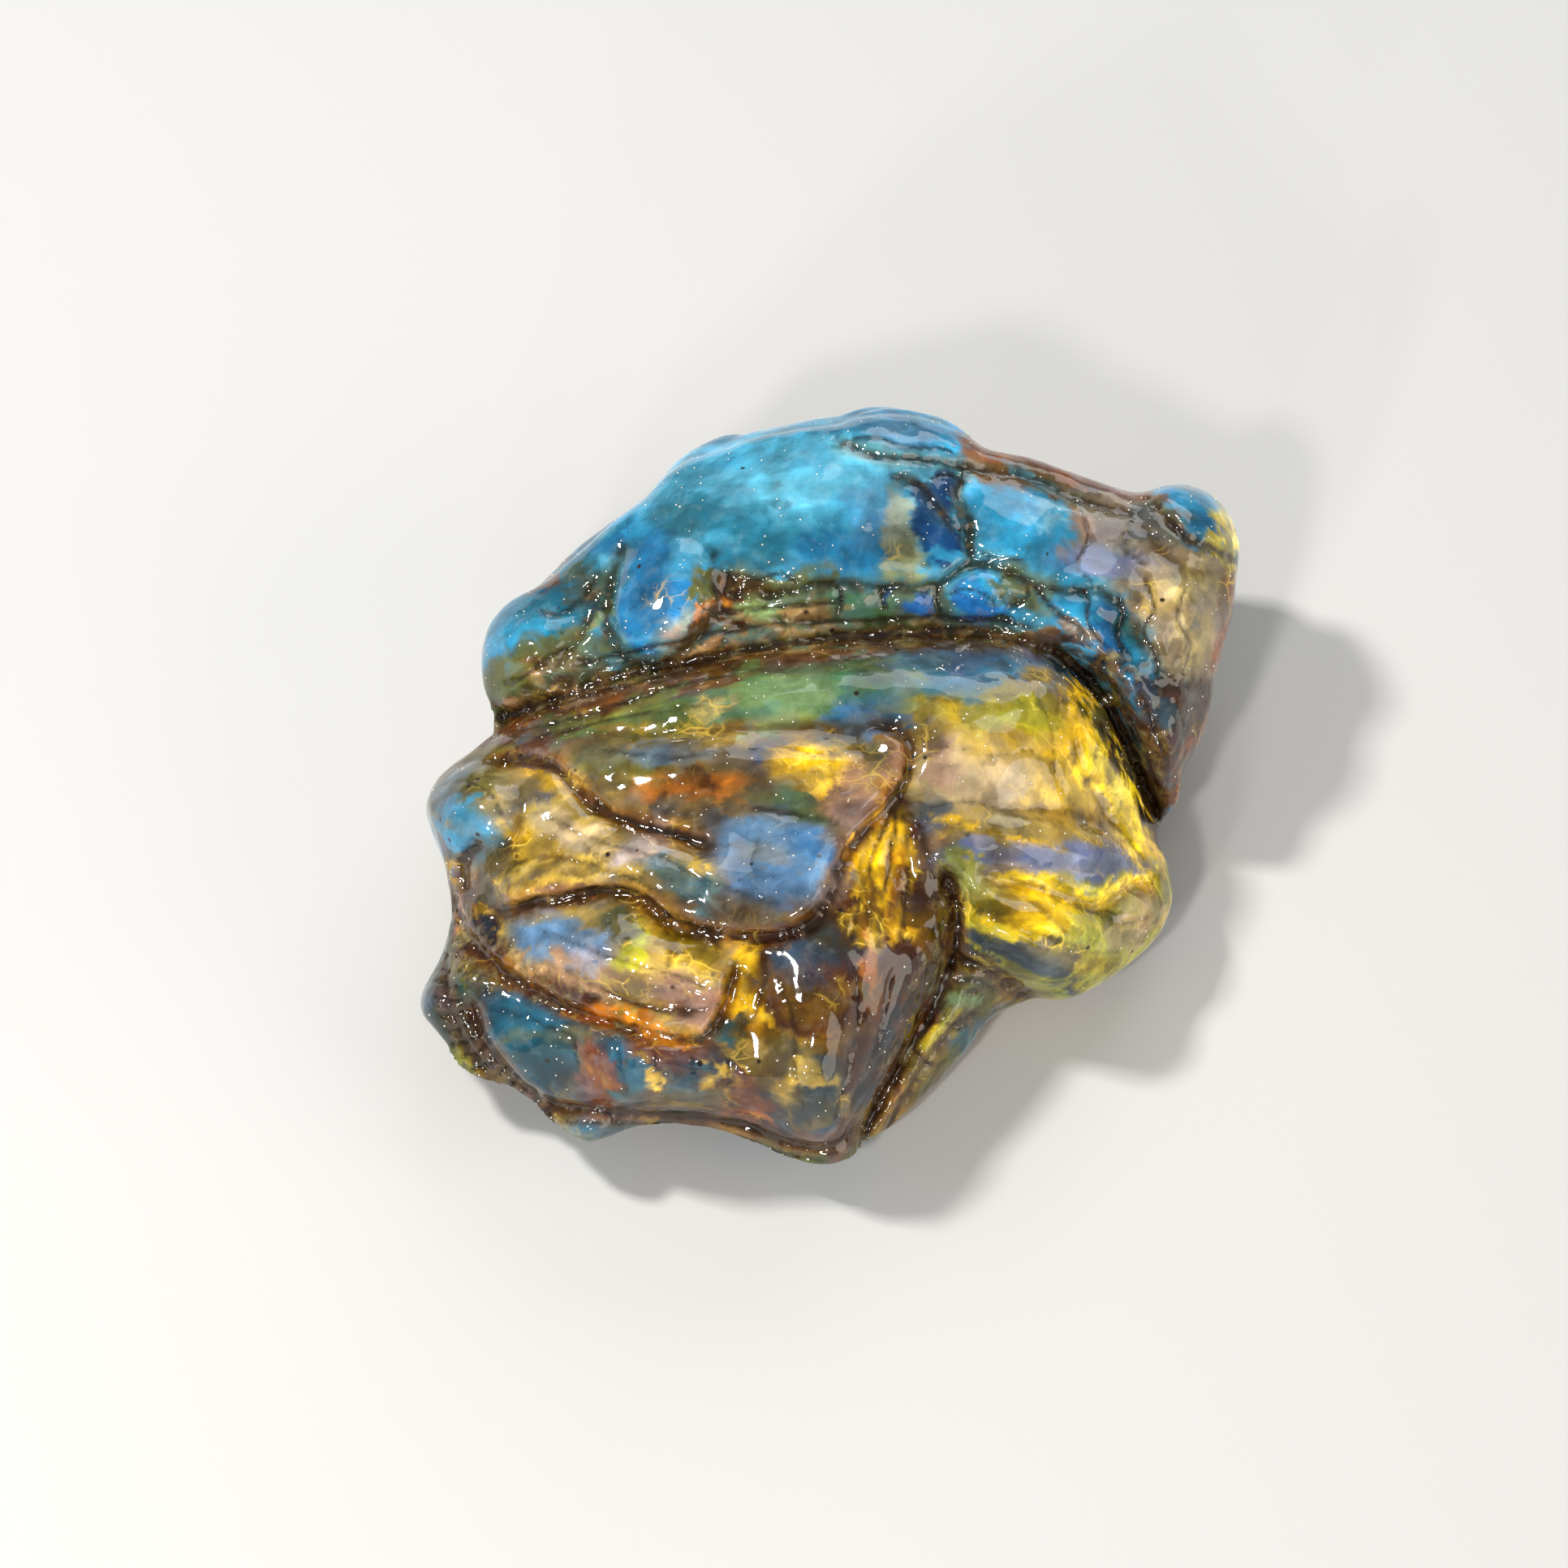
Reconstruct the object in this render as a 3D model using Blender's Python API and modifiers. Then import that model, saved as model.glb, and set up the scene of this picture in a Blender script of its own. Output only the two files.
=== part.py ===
"""A rough nugget of Dominican blue amber, as found, lying on a table.

It is one closed body. A pebble is stretched to the nugget's outline, its flow lobes are raised and
the folds between them are cut, and its underside is worn level where it rests. Lengths are in
millimetres times MM, so that the object is in metres. +Z is up, and the nugget's best face looks
towards -Y and up, at VIEW_ELEVATION. The origin is on the table, under the middle of the nugget.
"""

import math

import bpy
import numpy as np
from mathutils import Vector, noise

MM = 0.001
NODE_NAME = "blue_amber"

# Driving dimensions
VIEW_ELEVATION = math.radians(52)  # how steeply the best face is looked down on
FRONT_DOME = 11.5 * MM  # how far the best face stands out from the rim
BACK_DOME = 24.0 * MM  # how far the body reaches behind the rim, before the table levels it
MIDDLE_HEIGHT = 13.0 * MM  # height of the rim's middle above the table
SCULPT_CELL = 0.55 * MM  # spacing of the points that are pushed into shape
FINISH_CELL = 0.5 * MM
MOST_TRIANGLES = 9600

# The rim as it is seen from the front: across, up, and height above the table, in millimetres
RIM = [
    (35.1, 20.6, 16), (34.4, 23.2, 17), (32.6, 25.2, 18), (29.5, 26.0, 19), (27.2, 25.2, 19),
    (24.0, 25.7, 20), (19.5, 27.1, 22), (15.5, 28.3, 24), (13.4, 28.8, 25), (10.6, 30.7, 26),
    (6.5, 31.4, 27), (3.2, 31.2, 27), (1.4, 30.6, 27), (-3.5, 29.9, 26), (-9.5, 28.2, 25),
    (-12.6, 26.6, 24), (-14.4, 24.5, 23), (-17.6, 22.0, 22), (-22.4, 17.8, 20), (-26.0, 15.6, 18),
    (-27.7, 13.4, 17), (-28.0, 10.6, 16), (-27.3, 7.6, 15), (-26.6, 5.9, 14), (-28.4, 3.9, 14),
    (-31.2, 1.6, 13), (-32.3, -0.9, 12), (-31.6, -3.6, 11), (-30.7, -6.2, 10), (-30.3, -9.6, 9),
    (-31.0, -13.1, 7), (-32.4, -17.0, 5), (-31.3, -18.9, 5), (-30.3, -20.6, 4), (-29.2, -23.3, 3),
    (-25.2, -25.2, 2), (-22.2, -27.5, 2), (-19.4, -28.8, 2), (-17.4, -28.3, 2), (-14.0, -27.3, 2),
    (-9.5, -27.5, 2), (-5.5, -28.6, 2), (-2.5, -30.0, 2), (0.4, -30.5, 2), (3.0, -29.4, 2),
    (7.5, -25.6, 2), (11.4, -21.6, 2), (14.0, -18.2, 2), (17.4, -16.8, 2), (20.6, -16.9, 2),
    (24.4, -14.7, 3), (27.6, -12.0, 4), (29.2, -8.4, 5), (28.7, -5.3, 6), (27.9, -3.2, 6),
    (29.6, -0.8, 6), (30.3, 2.0, 7), (32.0, 5.4, 9), (32.6, 9.4, 11), (33.9, 13.8, 13),
    (34.8, 17.6, 15),
]
RIM_DETAIL_FROM = 0.45  # share of the way out at which the rim's small bays begin to show

# Lobes on the best face: centre, radii, tilt in degrees, how far raised, and edge.
# An edge of 1 meets its neighbours in a crease, and 2 blends into them.
FRONT_LOBES = {
    "upper_crown": ((-4, 23), (18, 7), 14, 2.6, 2),
    "glass_bead": ((-12.3, 15.8), (4.9, 5.6), -12, 2.4, 1),
    "back_hump": ((6.5, 28.6), (6.2, 2.6), -6, 1.2, 1),
    "corner_knob": ((31.0, 22.4), (4.6, 3.4), -38, 2.6, 1),
    "left_tip": ((-23.8, 12.6), (4.8, 4.0), 30, 1.8, 2),
    "dark_window": ((9.4, 22.6), (2.9, 3.8), 12, 0.8, 1),
    "blue_field": ((17, 21.8), (5.4, 4.4), -20, 1.5, 2),
    "cell_shelf": ((6, 14.8), (15, 3.2), 2, -1.6, 2),
    "cell_round": ((12.9, 16.3), (2.9, 2.2), 10, 1.6, 1),
    "cell_long": ((7.2, 15.6), (2.5, 1.5), 0, 1.0, 1),
    "cell_green": ((3.2, 15.2), (1.7, 1.4), 0, 0.9, 1),
    "flank_upper": ((29.4, 15), (4.4, 6.5), -6, 2.0, 2),
    "flank_lower": ((29.2, 5.4), (2.2, 6.5), -8, 1.4, 2),
    "slate_hollow": ((24.6, 13.4), (3.2, 2.6), -40, -1.2, 2),
    "teal_band": ((1, 8.4), (21, 4.0), 4, 2.0, 2),
    "shoulder": ((15, 4), (10.5, 8.5), -14, 3.0, 2),
    "left_nose": ((-28.6, -1.2), (4.4, 4.0), 10, 2.6, 1),
    "flap_upper": ((-8, 2.4), (15, 4.2), 2, 1.6, 2),
    "flap_lower": ((-11, -5.4), (14.5, 3.6), -16, 1.8, 2),
    "flap_corner": ((-1.8, -6), (4.2, 4.4), 20, 1.4, 2),
    "lip_roll": ((-16.6, -12.8), (10.4, 4.2), -15, 3.0, 2),
    "bottom_roll": ((-11.5, -21.6), (15.5, 4.6), -8, 3.4, 2),
    "fan_hollow": ((6.6, -6.6), (4.6, 7), 12, -1.8, 2),
    "keel": ((-0.5, -19.6), (5.6, 9.5), 6, 2.4, 2),
    "east_ridge": ((18.5, -3.8), (11, 2.8), -6, 1.6, 2),
    "east_belly": ((18.4, -12), (8.6, 4.6), -22, 3.0, 2),
    "east_hollow": ((15, -12.6), (4.2, 1.5), -22, -0.9, 2),
    "west_knob": ((-31.2, -17.2), (2.2, 2.6), 0, 1.2, 1),
    "toe_knob": ((-19.0, -27.0), (3.0, 1.8), 8, 1.6, 1),
}

# Folds on the best face, as a line of points. Each is cut to its depth over its width to either
# side. A rise lifts the side on its left, walking along the line, and dies away over the spread.
FRONT_FOLDS = {
    "main_groove": dict(
        line=[(-30, 5.2), (-24, 7.0), (-18, 9.2), (-12, 10.7), (-5, 12.0), (3, 12.9), (11, 13.2),
              (16, 12.8), (19.5, 11.2)],
        width=4.8, depth=5.0, rise=0, spread=6, fade=2),
    "groove_step": dict(
        line=[(-24, 5.0), (-19, 6.4), (-13, 8.4), (-7, 10.0), (0, 10.9), (8, 11.4)],
        width=1.2, depth=0.7, rise=0.5, spread=2.4, fade=4),
    "right_gap": dict(
        line=[(17.5, 12.8), (20.6, 11.0), (23.2, 8.2), (25.0, 5.0), (26.6, 1.4), (28.6, -3.2)],
        width=3.6, depth=10.0, rise=0, spread=5, fade=3),
    "flap_edge": dict(
        line=[(-27.4, -9.8), (-24, -8.7), (-20, -7.9), (-16.6, -7.4), (-14.2, -8.1),
              (-11.6, -9.9), (-8.6, -10.8), (-4.6, -11.1), (-1.3, -10.3), (0.5, -8.2),
              (1.4, -5.6), (2.8, -3.3), (5.0, -1.2), (6.5, 1.2), (7.0, 3.4), (5.9, 5.0),
              (2.8, 5.5)],
        width=2.0, depth=1.5, rise=2.4, spread=4.5, fade=3),
    "flap_back": dict(
        line=[(4, 5.8), (-2, 5.5), (-9, 5.1), (-15, 4.8), (-20, 5.2)],
        width=1.4, depth=0.7, rise=0, spread=2, fade=4),
    "slit": dict(
        line=[(-7.4, -4.5), (-10.5, -3.4), (-14.5, -2.3), (-17.4, -1.2), (-19.4, 0.6),
              (-21.8, 2.6), (-25, 3.1), (-28.5, 2.2)],
        width=1.6, depth=2.0, rise=-1.3, spread=4, fade=2.5),
    "nose_notch": dict(
        line=[(-26.8, -3.6), (-28.4, -4.6), (-29.0, -6.2), (-28.2, -8.6)],
        width=1.7, depth=2.6, rise=0, spread=2, fade=1),
    "left_ravine": dict(
        line=[(-30.2, -7.0), (-28.8, -10.6), (-26.6, -13.4), (-23.6, -15.4), (-20.0, -17.0),
              (-16, -18.3), (-11, -19.4), (-9.0, -18.8), (-7.6, -16), (-6.8, -12.6)],
        width=2.0, depth=1.9, rise=1.8, spread=3.6, fade=2),
    "bottom_edge": dict(
        line=[(-28.6, -15.6), (-27.2, -19.6), (-24.6, -22.9), (-21.6, -24.9), (-15, -25.4),
              (-8, -26.2), (-1, -28.0), (1.8, -27.4), (3.0, -24.8)],
        width=1.8, depth=2.4, rise=1.2, spread=4, fade=2),
    "west_rib": dict(
        line=[(-30.4, -12.2), (-30.2, -16.2), (-29.2, -19.0), (-26.9, -22.4), (-24.0, -25.6)],
        width=1.2, depth=1.2, rise=0, spread=2, fade=2),
    "east_valley": dict(
        line=[(2.6, -29.6), (4.4, -25.6), (7.2, -20.6), (9.8, -15.8), (11.0, -11.6),
              (10.8, -8.0), (9.0, -5.0)],
        width=3.4, depth=5.0, rise=0, spread=3, fade=3),
    "shelf_step": dict(
        line=[(4.6, -28.6), (7.0, -24.0), (9.8, -19.8), (13.2, -16.6)],
        width=1.4, depth=1.2, rise=0.8, spread=2.4, fade=2),
    "east_step": dict(
        line=[(28.2, -7.0), (25.4, -7.2), (22.4, -8.9), (19.0, -7.8), (15.6, -6.8),
              (12.2, -5.8)],
        width=1.8, depth=1.4, rise=-1.6, spread=3, fade=2),
    "belly_line": dict(
        line=[(11.2, -8.8), (15, -10.1), (20, -12.8), (24.4, -14.6)],
        width=1.3, depth=0.8, rise=-0.5, spread=2, fade=2),
    "east_under": dict(
        line=[(9.8, -12.8), (13.5, -14.2), (16.6, -16.2), (20.0, -18.4)],
        width=1.8, depth=2.2, rise=0, spread=3, fade=1.5),
    "rim_bevel": dict(
        line=[(19.4, 10.6), (20.4, 5.5), (21.6, 1.6), (24.0, -2.4), (27.4, -6.4)],
        width=1.6, depth=0.7, rise=0.5, spread=2.4, fade=2),
    "bead_edge": dict(
        line=[(-15.8, 21.4), (-16.8, 18.4), (-17.4, 14.6), (-16.2, 11.6), (-13.4, 11.0),
              (-10.2, 12.8), (-8.2, 16.0), (-9.2, 18.6)],
        width=1.5, depth=1.3, rise=0, spread=2, fade=1.5),
    "drip": dict(
        line=[(-19.6, 18.6), (-18.6, 15.6), (-19.6, 12.6), (-21.8, 10.2)],
        width=1.3, depth=0.9, rise=0.6, spread=2, fade=1.5),
    "crack_left": dict(
        line=[(5.4, 26.4), (8.0, 25.6), (9.4, 24.0), (11.6, 21.4)],
        width=1.1, depth=0.9, rise=0.5, spread=2.5, fade=1),
    "crack_right": dict(
        line=[(12.4, 27.0), (11.3, 24.8), (12.1, 22.4), (12.5, 18.8)],
        width=1.1, depth=1.2, rise=0, spread=2, fade=1),
    "hump_seam": dict(
        line=[(0.5, 29.8), (3.0, 28.4), (6.0, 27.6), (9.0, 27.6), (12.2, 27.0), (17.5, 26.0),
              (22, 24.2), (26.6, 23.0)],
        width=1.6, depth=1.4, rise=0, spread=3, fade=2),
    "cell_wall": dict(
        line=[(-8.5, 17.8), (-3, 16.8), (0, 17.4), (6, 17.2), (9.4, 17.3), (12.0, 18.9),
              (14.6, 18.9), (17.2, 17.6), (20.0, 16.8), (23.0, 16.8), (25.6, 15.0)],
        width=1.3, depth=1.2, rise=1.0, spread=3, fade=2),
    "flank_seam": dict(
        line=[(25.6, 15.8), (26.8, 12.4), (29.0, 9.6), (32.8, 8.4)],
        width=1.3, depth=0.9, rise=0.6, spread=3, fade=2),
    "knob_seam": dict(
        line=[(26.8, 25.4), (28.6, 23.0), (31.0, 20.9), (35.0, 19.4)],
        width=1.4, depth=1.3, rise=0, spread=2, fade=1),
}

LIP_ROUNDING = 0.9 * MM  # how far from its fold a raised side is rounded off

# The far side isn't in the photograph, so it has plain broad lobes and folds of the same kind.
# They are placed as they are seen from behind, at FAR_ELEVATION.
FAR_ELEVATION = math.radians(18)
FAR_LOBES = {
    "far_roll": ((-2, 19), (22, 5.5), -8, 2.6, 2),
    "far_belly": ((-15, 5.5), (11, 6.5), 14, 3.0, 2),
    "far_boss": ((19, 9), (9, 6.0), 10, 2.8, 2),
    "far_low": ((3, 6), (8, 6), 0, 2.2, 2),
    "far_bead": ((9.5, 15.4), (4.2, 3.2), 20, 1.6, 1),
}
FAR_FOLDS = {
    "far_groove": dict(
        line=[(-34, 7.0), (-27, 9.6), (-19, 12.6), (-10, 12.4), (-2, 12.0), (7, 13.2),
              (14, 15.2), (22, 15.6), (28, 14.6), (34, 13.6)],
        width=3.8, depth=3.4, rise=1.0, spread=6, fade=1),
    "far_branch": dict(
        line=[(10.5, 14.4), (11.8, 9.6), (9.8, 5.0), (11.6, -2)],
        width=2.6, depth=2.2, rise=0.8, spread=4, fade=1),
    "far_split": dict(
        line=[(-6.4, 12.2), (-4.6, 8.0), (-7.0, 3.6), (-5.0, -3)],
        width=2.6, depth=2.2, rise=1.0, spread=4, fade=1),
    "far_crease": dict(
        line=[(-27, 17), (-20, 18.6), (-12, 17.2), (-3, 19.4), (5, 23)],
        width=1.8, depth=1.4, rise=0.9, spread=4, fade=3),
    "far_step": dict(
        line=[(-31, 3.6), (-23, 4.4), (-16, 1.2), (-11, 2.4), (-6.4, 4.0)],
        width=1.8, depth=1.2, rise=0.9, spread=3, fade=3),
}

# The underside: a shallow dish, with feet that reach below the table's level and are worn flat.
# Each foot is across, along and radius, in millimetres.
DISH_LIFT = 4.0 * MM
DISH_REACH = 33.0 * MM
FEET = [(-19, -20, 8.5), (5, -31, 8.0), (18, -9, 8.5), (-13, 6, 8.0), (13, 12, 8.0)]
FOOT_DROP = 3.4 * MM
WORN_BLEND = 0.8 * MM
WORN_UP_TO = 1.4  # how many times its reach the dish keeps rising
FLAT_WITHIN = 0.03 * MM  # points that low are on the table
BOX_MIDDLE = (1.24, -8.33)  # the middle of the nugget's box, seen from above, in millimetres

# Two sizes of unevenness over everything: wavelength and height
SWELLS = [(9.0 * MM, 0.40 * MM), (3.6 * MM, 0.14 * MM)]

AMBER_COLOUR = (0.16, 0.36, 0.46, 1)
AMBER_ROUGHNESS = 0.12
AMBER_IOR = 1.54
AMBER_TRANSMISSION = 0.5


def clear_scene():
    for obj in list(bpy.data.objects):
        bpy.data.objects.remove(obj)


def view_axes(azimuth, elevation):
    """Across, up and towards the eye, for an eye at that azimuth and elevation."""
    across = np.array([math.cos(azimuth), math.sin(azimuth), 0])
    level = np.array([-math.sin(azimuth), math.cos(azimuth), 0])
    up = level * math.sin(elevation) + np.array([0, 0, math.cos(elevation)])
    towards = -level * math.cos(elevation) + np.array([0, 0, math.sin(elevation)])
    return np.array([across, up, towards])


def smooth_step(values, low, high):
    t = np.clip((values - low) / (high - low), 0, 1)
    return t * t * (3 - 2 * t)


def smooth_line(points, closed=False, steps=8):
    """A Catmull-Rom curve through the points, as a finer list of points."""
    p = np.array(points, float)
    count = len(p)
    made = []
    for i in range(count if closed else count - 1):
        if closed:
            a, b, c, d = (p[(i + k) % count] for k in (-1, 0, 1, 2))
        else:
            a, b, c, d = (p[min(max(i + k, 0), count - 1)] for k in (-1, 0, 1, 2))
        for t in np.arange(steps) / steps:
            made.append(0.5 * (2 * b + (c - a) * t + (2 * a - 5 * b + 4 * c - d) * t**2
                               + (3 * b - a - 3 * c + d) * t**3))
    if not closed:
        made.append(p[-1])
    return np.array(made)


def points_of(mesh):
    values = np.empty(len(mesh.vertices) * 3, np.float32)
    mesh.vertices.foreach_get("co", values)
    return values.reshape(-1, 3).astype(float)


def normals_of(mesh):
    values = np.empty(len(mesh.vertices) * 3, np.float32)
    mesh.vertex_normals.foreach_get("vector", values)
    return values.reshape(-1, 3).astype(float)


def move_points(mesh, places):
    mesh.vertices.foreach_set("co", places.astype(np.float32).ravel())
    mesh.update()


def bake_modifiers(obj):
    """The object's mesh becomes what its modifiers make of it."""
    graph = bpy.context.evaluated_depsgraph_get()
    made = bpy.data.meshes.new_from_object(obj.evaluated_get(graph))
    obj.modifiers.clear()
    obj.data = made


def remesh(obj, cell):
    modifier = obj.modifiers.new("even cells", "REMESH")
    modifier.mode = "VOXEL"
    modifier.voxel_size = cell
    bake_modifiers(obj)


def rim_at(angles):
    """The rim's distance out, its smoothed distance and its height, at angles round the middle."""
    curve = smooth_line(RIM, closed=True)
    turn = np.arctan2(curve[:, 1], curve[:, 0])
    order = np.argsort(turn)
    turn, curve = turn[order], curve[order]
    reach = np.hypot(curve[:, 0], curve[:, 1])
    even = np.linspace(-math.pi, math.pi, 720, endpoint=False)
    reach_even = np.interp(even, turn, reach, period=2 * math.pi)
    height_even = np.interp(even, turn, curve[:, 2], period=2 * math.pi)
    window = np.hanning(73)
    window /= window.sum()
    wrapped = np.concatenate([reach_even[-36:], reach_even, reach_even[:36]])
    soft_even = np.convolve(wrapped, window, "valid")
    wrapped = np.concatenate([height_even[-36:], height_even, height_even[:36]])
    height_even = np.convolve(wrapped, window, "valid")
    found = [np.interp(angles, even, v, period=2 * math.pi)
             for v in (reach_even, soft_even, height_even)]
    return [v * MM for v in found]


def stretch_to_rim(sphere_points, axes):
    """Points of a unit sphere, whose Z looks at the eye, moved to the nugget's bare pebble."""
    x, y, z = sphere_points.T
    out = np.clip(np.hypot(x, y), 0, 1)
    angle = np.arctan2(y, x)
    reach, soft_reach, height = rim_at(angle)
    detail = smooth_step(out, RIM_DETAIL_FROM, 1.0)
    radius = (soft_reach + (reach - soft_reach) * detail) * out
    across, up = radius * np.cos(angle), radius * np.sin(angle)
    rim_level = MIDDLE_HEIGHT + (height - MIDDLE_HEIGHT) * out**2
    rim_depth = (rim_level - up * math.cos(VIEW_ELEVATION)) / math.sin(VIEW_ELEVATION)
    dome = np.where(z > 0, FRONT_DOME, BACK_DOME) * z
    return np.stack([across, up, rim_depth + dome], 1) @ axes


def make_pebble(axes):
    bpy.ops.mesh.primitive_ico_sphere_add(subdivisions=7, radius=1)
    pebble = bpy.context.object
    move_points(pebble.data, stretch_to_rim(points_of(pebble.data), axes))
    pebble.name = NODE_NAME
    remesh(pebble, SCULPT_CELL)
    return pebble


def lobe_height(seen, centre, radii, tilt, height, edge):
    """How far a lobe raises the points that are seen at these places."""
    turn = math.radians(tilt)
    away = seen - np.array(centre) * MM
    along = away[:, 0] * math.cos(turn) + away[:, 1] * math.sin(turn)
    beside = away[:, 1] * math.cos(turn) - away[:, 0] * math.sin(turn)
    share = (along / (radii[0] * MM)) ** 2 + (beside / (radii[1] * MM)) ** 2
    return height * MM * np.clip(1 - share, 0, 1) ** edge


def nearest_on_line(seen, line):
    """For each point: distance to the line, on its left or right, and how far along it is."""
    best = np.full(len(seen), 1e9)
    side = np.zeros(len(seen))
    along = np.zeros(len(seen))
    gone = 0.0
    for a, b in zip(line[:-1], line[1:]):
        step = b - a
        length = float(np.hypot(*step))
        if length < 1e-9:
            continue
        t = np.clip(((seen - a) @ step) / length**2, 0, 1)
        away = seen - (a + t[:, None] * step)
        distance = np.hypot(away[:, 0], away[:, 1])
        nearer = distance < best
        best[nearer] = distance[nearer]
        turned = step[0] * away[:, 1] - step[1] * away[:, 0]
        side[nearer] = np.sign(turned[nearer])
        along[nearer] = gone + t[nearer] * length
        gone += length
    return best, side, along, gone


def fold_height(seen, line, width, depth, rise, spread, fade):
    """How far a fold lowers or raises the points that are seen at these places."""
    distance, side, along, length = nearest_on_line(seen, smooth_line(line) * MM)
    ends = smooth_step(np.minimum(along, length - along), 0, fade * MM)
    near = np.clip(1 - distance / (width * MM), 0, 1)
    cut = depth * MM * (1 - np.sqrt(1 - near**2))
    lip = np.sqrt(1 - np.clip(1 - distance / LIP_ROUNDING, 0, 1) ** 2)
    lift = rise * MM * np.clip(1 - distance / (spread * MM), 0, 1) ** 2 * lip * (side > 0)
    return ends * (lift - cut)


def sculpt(mesh, axes, lobes, folds, away_from=None):
    """Raises the lobes and cuts the folds of one view, on the side that faces its eye."""
    places = points_of(mesh)
    seen = places @ axes[:2].T
    facing = smooth_step(normals_of(mesh) @ axes[2], 0.02, 0.4)
    if away_from is not None:
        facing *= smooth_step(normals_of(mesh) @ away_from[2], 0.1, -0.35)
    height = np.zeros(len(places))
    for centre, radii, tilt, lift, edge in lobes.values():
        height += lobe_height(seen, centre, radii, tilt, lift, edge)
    for fold in folds.values():
        height += fold_height(seen, **fold)
    move_points(mesh, places + (height * facing)[:, None] * axes[2])


def swell(mesh):
    """A low unevenness that no lobe or fold gives."""
    places, out = points_of(mesh), normals_of(mesh)
    lift = np.zeros(len(places))
    for wavelength, height in SWELLS:
        lift += np.array([height * noise.noise(Vector(p / wavelength)) for p in places])
    move_points(mesh, places + lift[:, None] * out)


def level_underside(mesh):
    """Nothing reaches lower than the dish, and its feet end flat on the table."""
    places = points_of(mesh)
    middle = places[:, :2].mean(0)
    out = np.hypot(*((places[:, :2] - middle) / DISH_REACH).T)
    floor = DISH_LIFT * np.clip(out, 0, WORN_UP_TO) ** 2
    for x, y, radius in FEET:
        away = np.hypot(places[:, 0] - x * MM, places[:, 1] - y * MM)
        floor -= FOOT_DROP * np.clip(1 - (away / (radius * MM)) ** 2, 0, 1) ** 2
    gap = places[:, 2] - floor
    places[:, 2] = floor + 0.5 * (gap + np.sqrt(gap**2 + WORN_BLEND**2))
    places[:, 2] = np.maximum(places[:, 2], 0)
    move_points(mesh, places)


def settle(mesh):
    """The feet stand at height 0, and the origin is under the middle of the nugget's box."""
    places = points_of(mesh)
    places[:, :2] -= np.array(BOX_MIDDLE) * MM
    places[:, 2] -= places[:, 2].min()
    places[:, 2] = np.where(places[:, 2] < FLAT_WITHIN, 0, places[:, 2])
    move_points(mesh, places)


def thin_out(obj):
    """Fewer triangles where the surface is plain, with the feet kept flat."""
    obj.data.calc_loop_triangles()
    modifier = obj.modifiers.new("fewer faces", "DECIMATE")
    modifier.ratio = MOST_TRIANGLES / len(obj.data.loop_triangles)
    modifier.use_collapse_triangulate = True
    bake_modifiers(obj)
    places = points_of(obj.data)
    places[:, 2] = np.where(places[:, 2] < FLAT_WITHIN, 0, places[:, 2])
    move_points(obj.data, places)


def amber_material():
    material = bpy.data.materials.new("amber")
    material.use_nodes = True
    shader = material.node_tree.nodes["Principled BSDF"]
    shader.inputs["Base Color"].default_value = AMBER_COLOUR
    shader.inputs["Roughness"].default_value = AMBER_ROUGHNESS
    shader.inputs["Metallic"].default_value = 0
    shader.inputs["IOR"].default_value = AMBER_IOR
    shader.inputs["Transmission Weight"].default_value = AMBER_TRANSMISSION
    return material


def make_nugget():
    front = view_axes(0, VIEW_ELEVATION)
    far = view_axes(math.pi, FAR_ELEVATION)
    nugget = make_pebble(front)
    sculpt(nugget.data, front, FRONT_LOBES, FRONT_FOLDS)
    sculpt(nugget.data, far, FAR_LOBES, FAR_FOLDS, away_from=front)
    swell(nugget.data)
    level_underside(nugget.data)
    remesh(nugget, FINISH_CELL)
    settle(nugget.data)
    thin_out(nugget)
    nugget.data.materials.append(amber_material())
    nugget.data.shade_smooth()
    return nugget


def main():
    clear_scene()
    collection = bpy.data.collections.new("blue amber")
    bpy.context.scene.collection.children.link(collection)
    nugget = make_nugget()
    for old in list(nugget.users_collection):
        old.objects.unlink(nugget)
    collection.objects.link(nugget)


main()
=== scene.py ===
import math

import bpy
import numpy as np
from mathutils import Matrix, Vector, noise


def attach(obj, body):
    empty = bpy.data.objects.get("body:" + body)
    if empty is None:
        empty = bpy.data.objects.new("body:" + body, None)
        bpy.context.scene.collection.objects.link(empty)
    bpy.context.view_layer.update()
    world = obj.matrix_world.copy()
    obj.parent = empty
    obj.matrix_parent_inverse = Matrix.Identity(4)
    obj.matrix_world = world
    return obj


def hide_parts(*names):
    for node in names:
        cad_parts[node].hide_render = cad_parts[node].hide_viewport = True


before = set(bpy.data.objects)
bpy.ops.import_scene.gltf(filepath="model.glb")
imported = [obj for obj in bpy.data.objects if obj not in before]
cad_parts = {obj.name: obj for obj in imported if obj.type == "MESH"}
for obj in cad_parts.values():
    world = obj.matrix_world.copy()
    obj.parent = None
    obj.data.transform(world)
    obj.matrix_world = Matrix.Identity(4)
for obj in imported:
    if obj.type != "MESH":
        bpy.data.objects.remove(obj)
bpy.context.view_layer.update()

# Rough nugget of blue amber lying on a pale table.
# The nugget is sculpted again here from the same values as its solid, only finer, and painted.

mm = 0.001
nodeName = "blue_amber"

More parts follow.
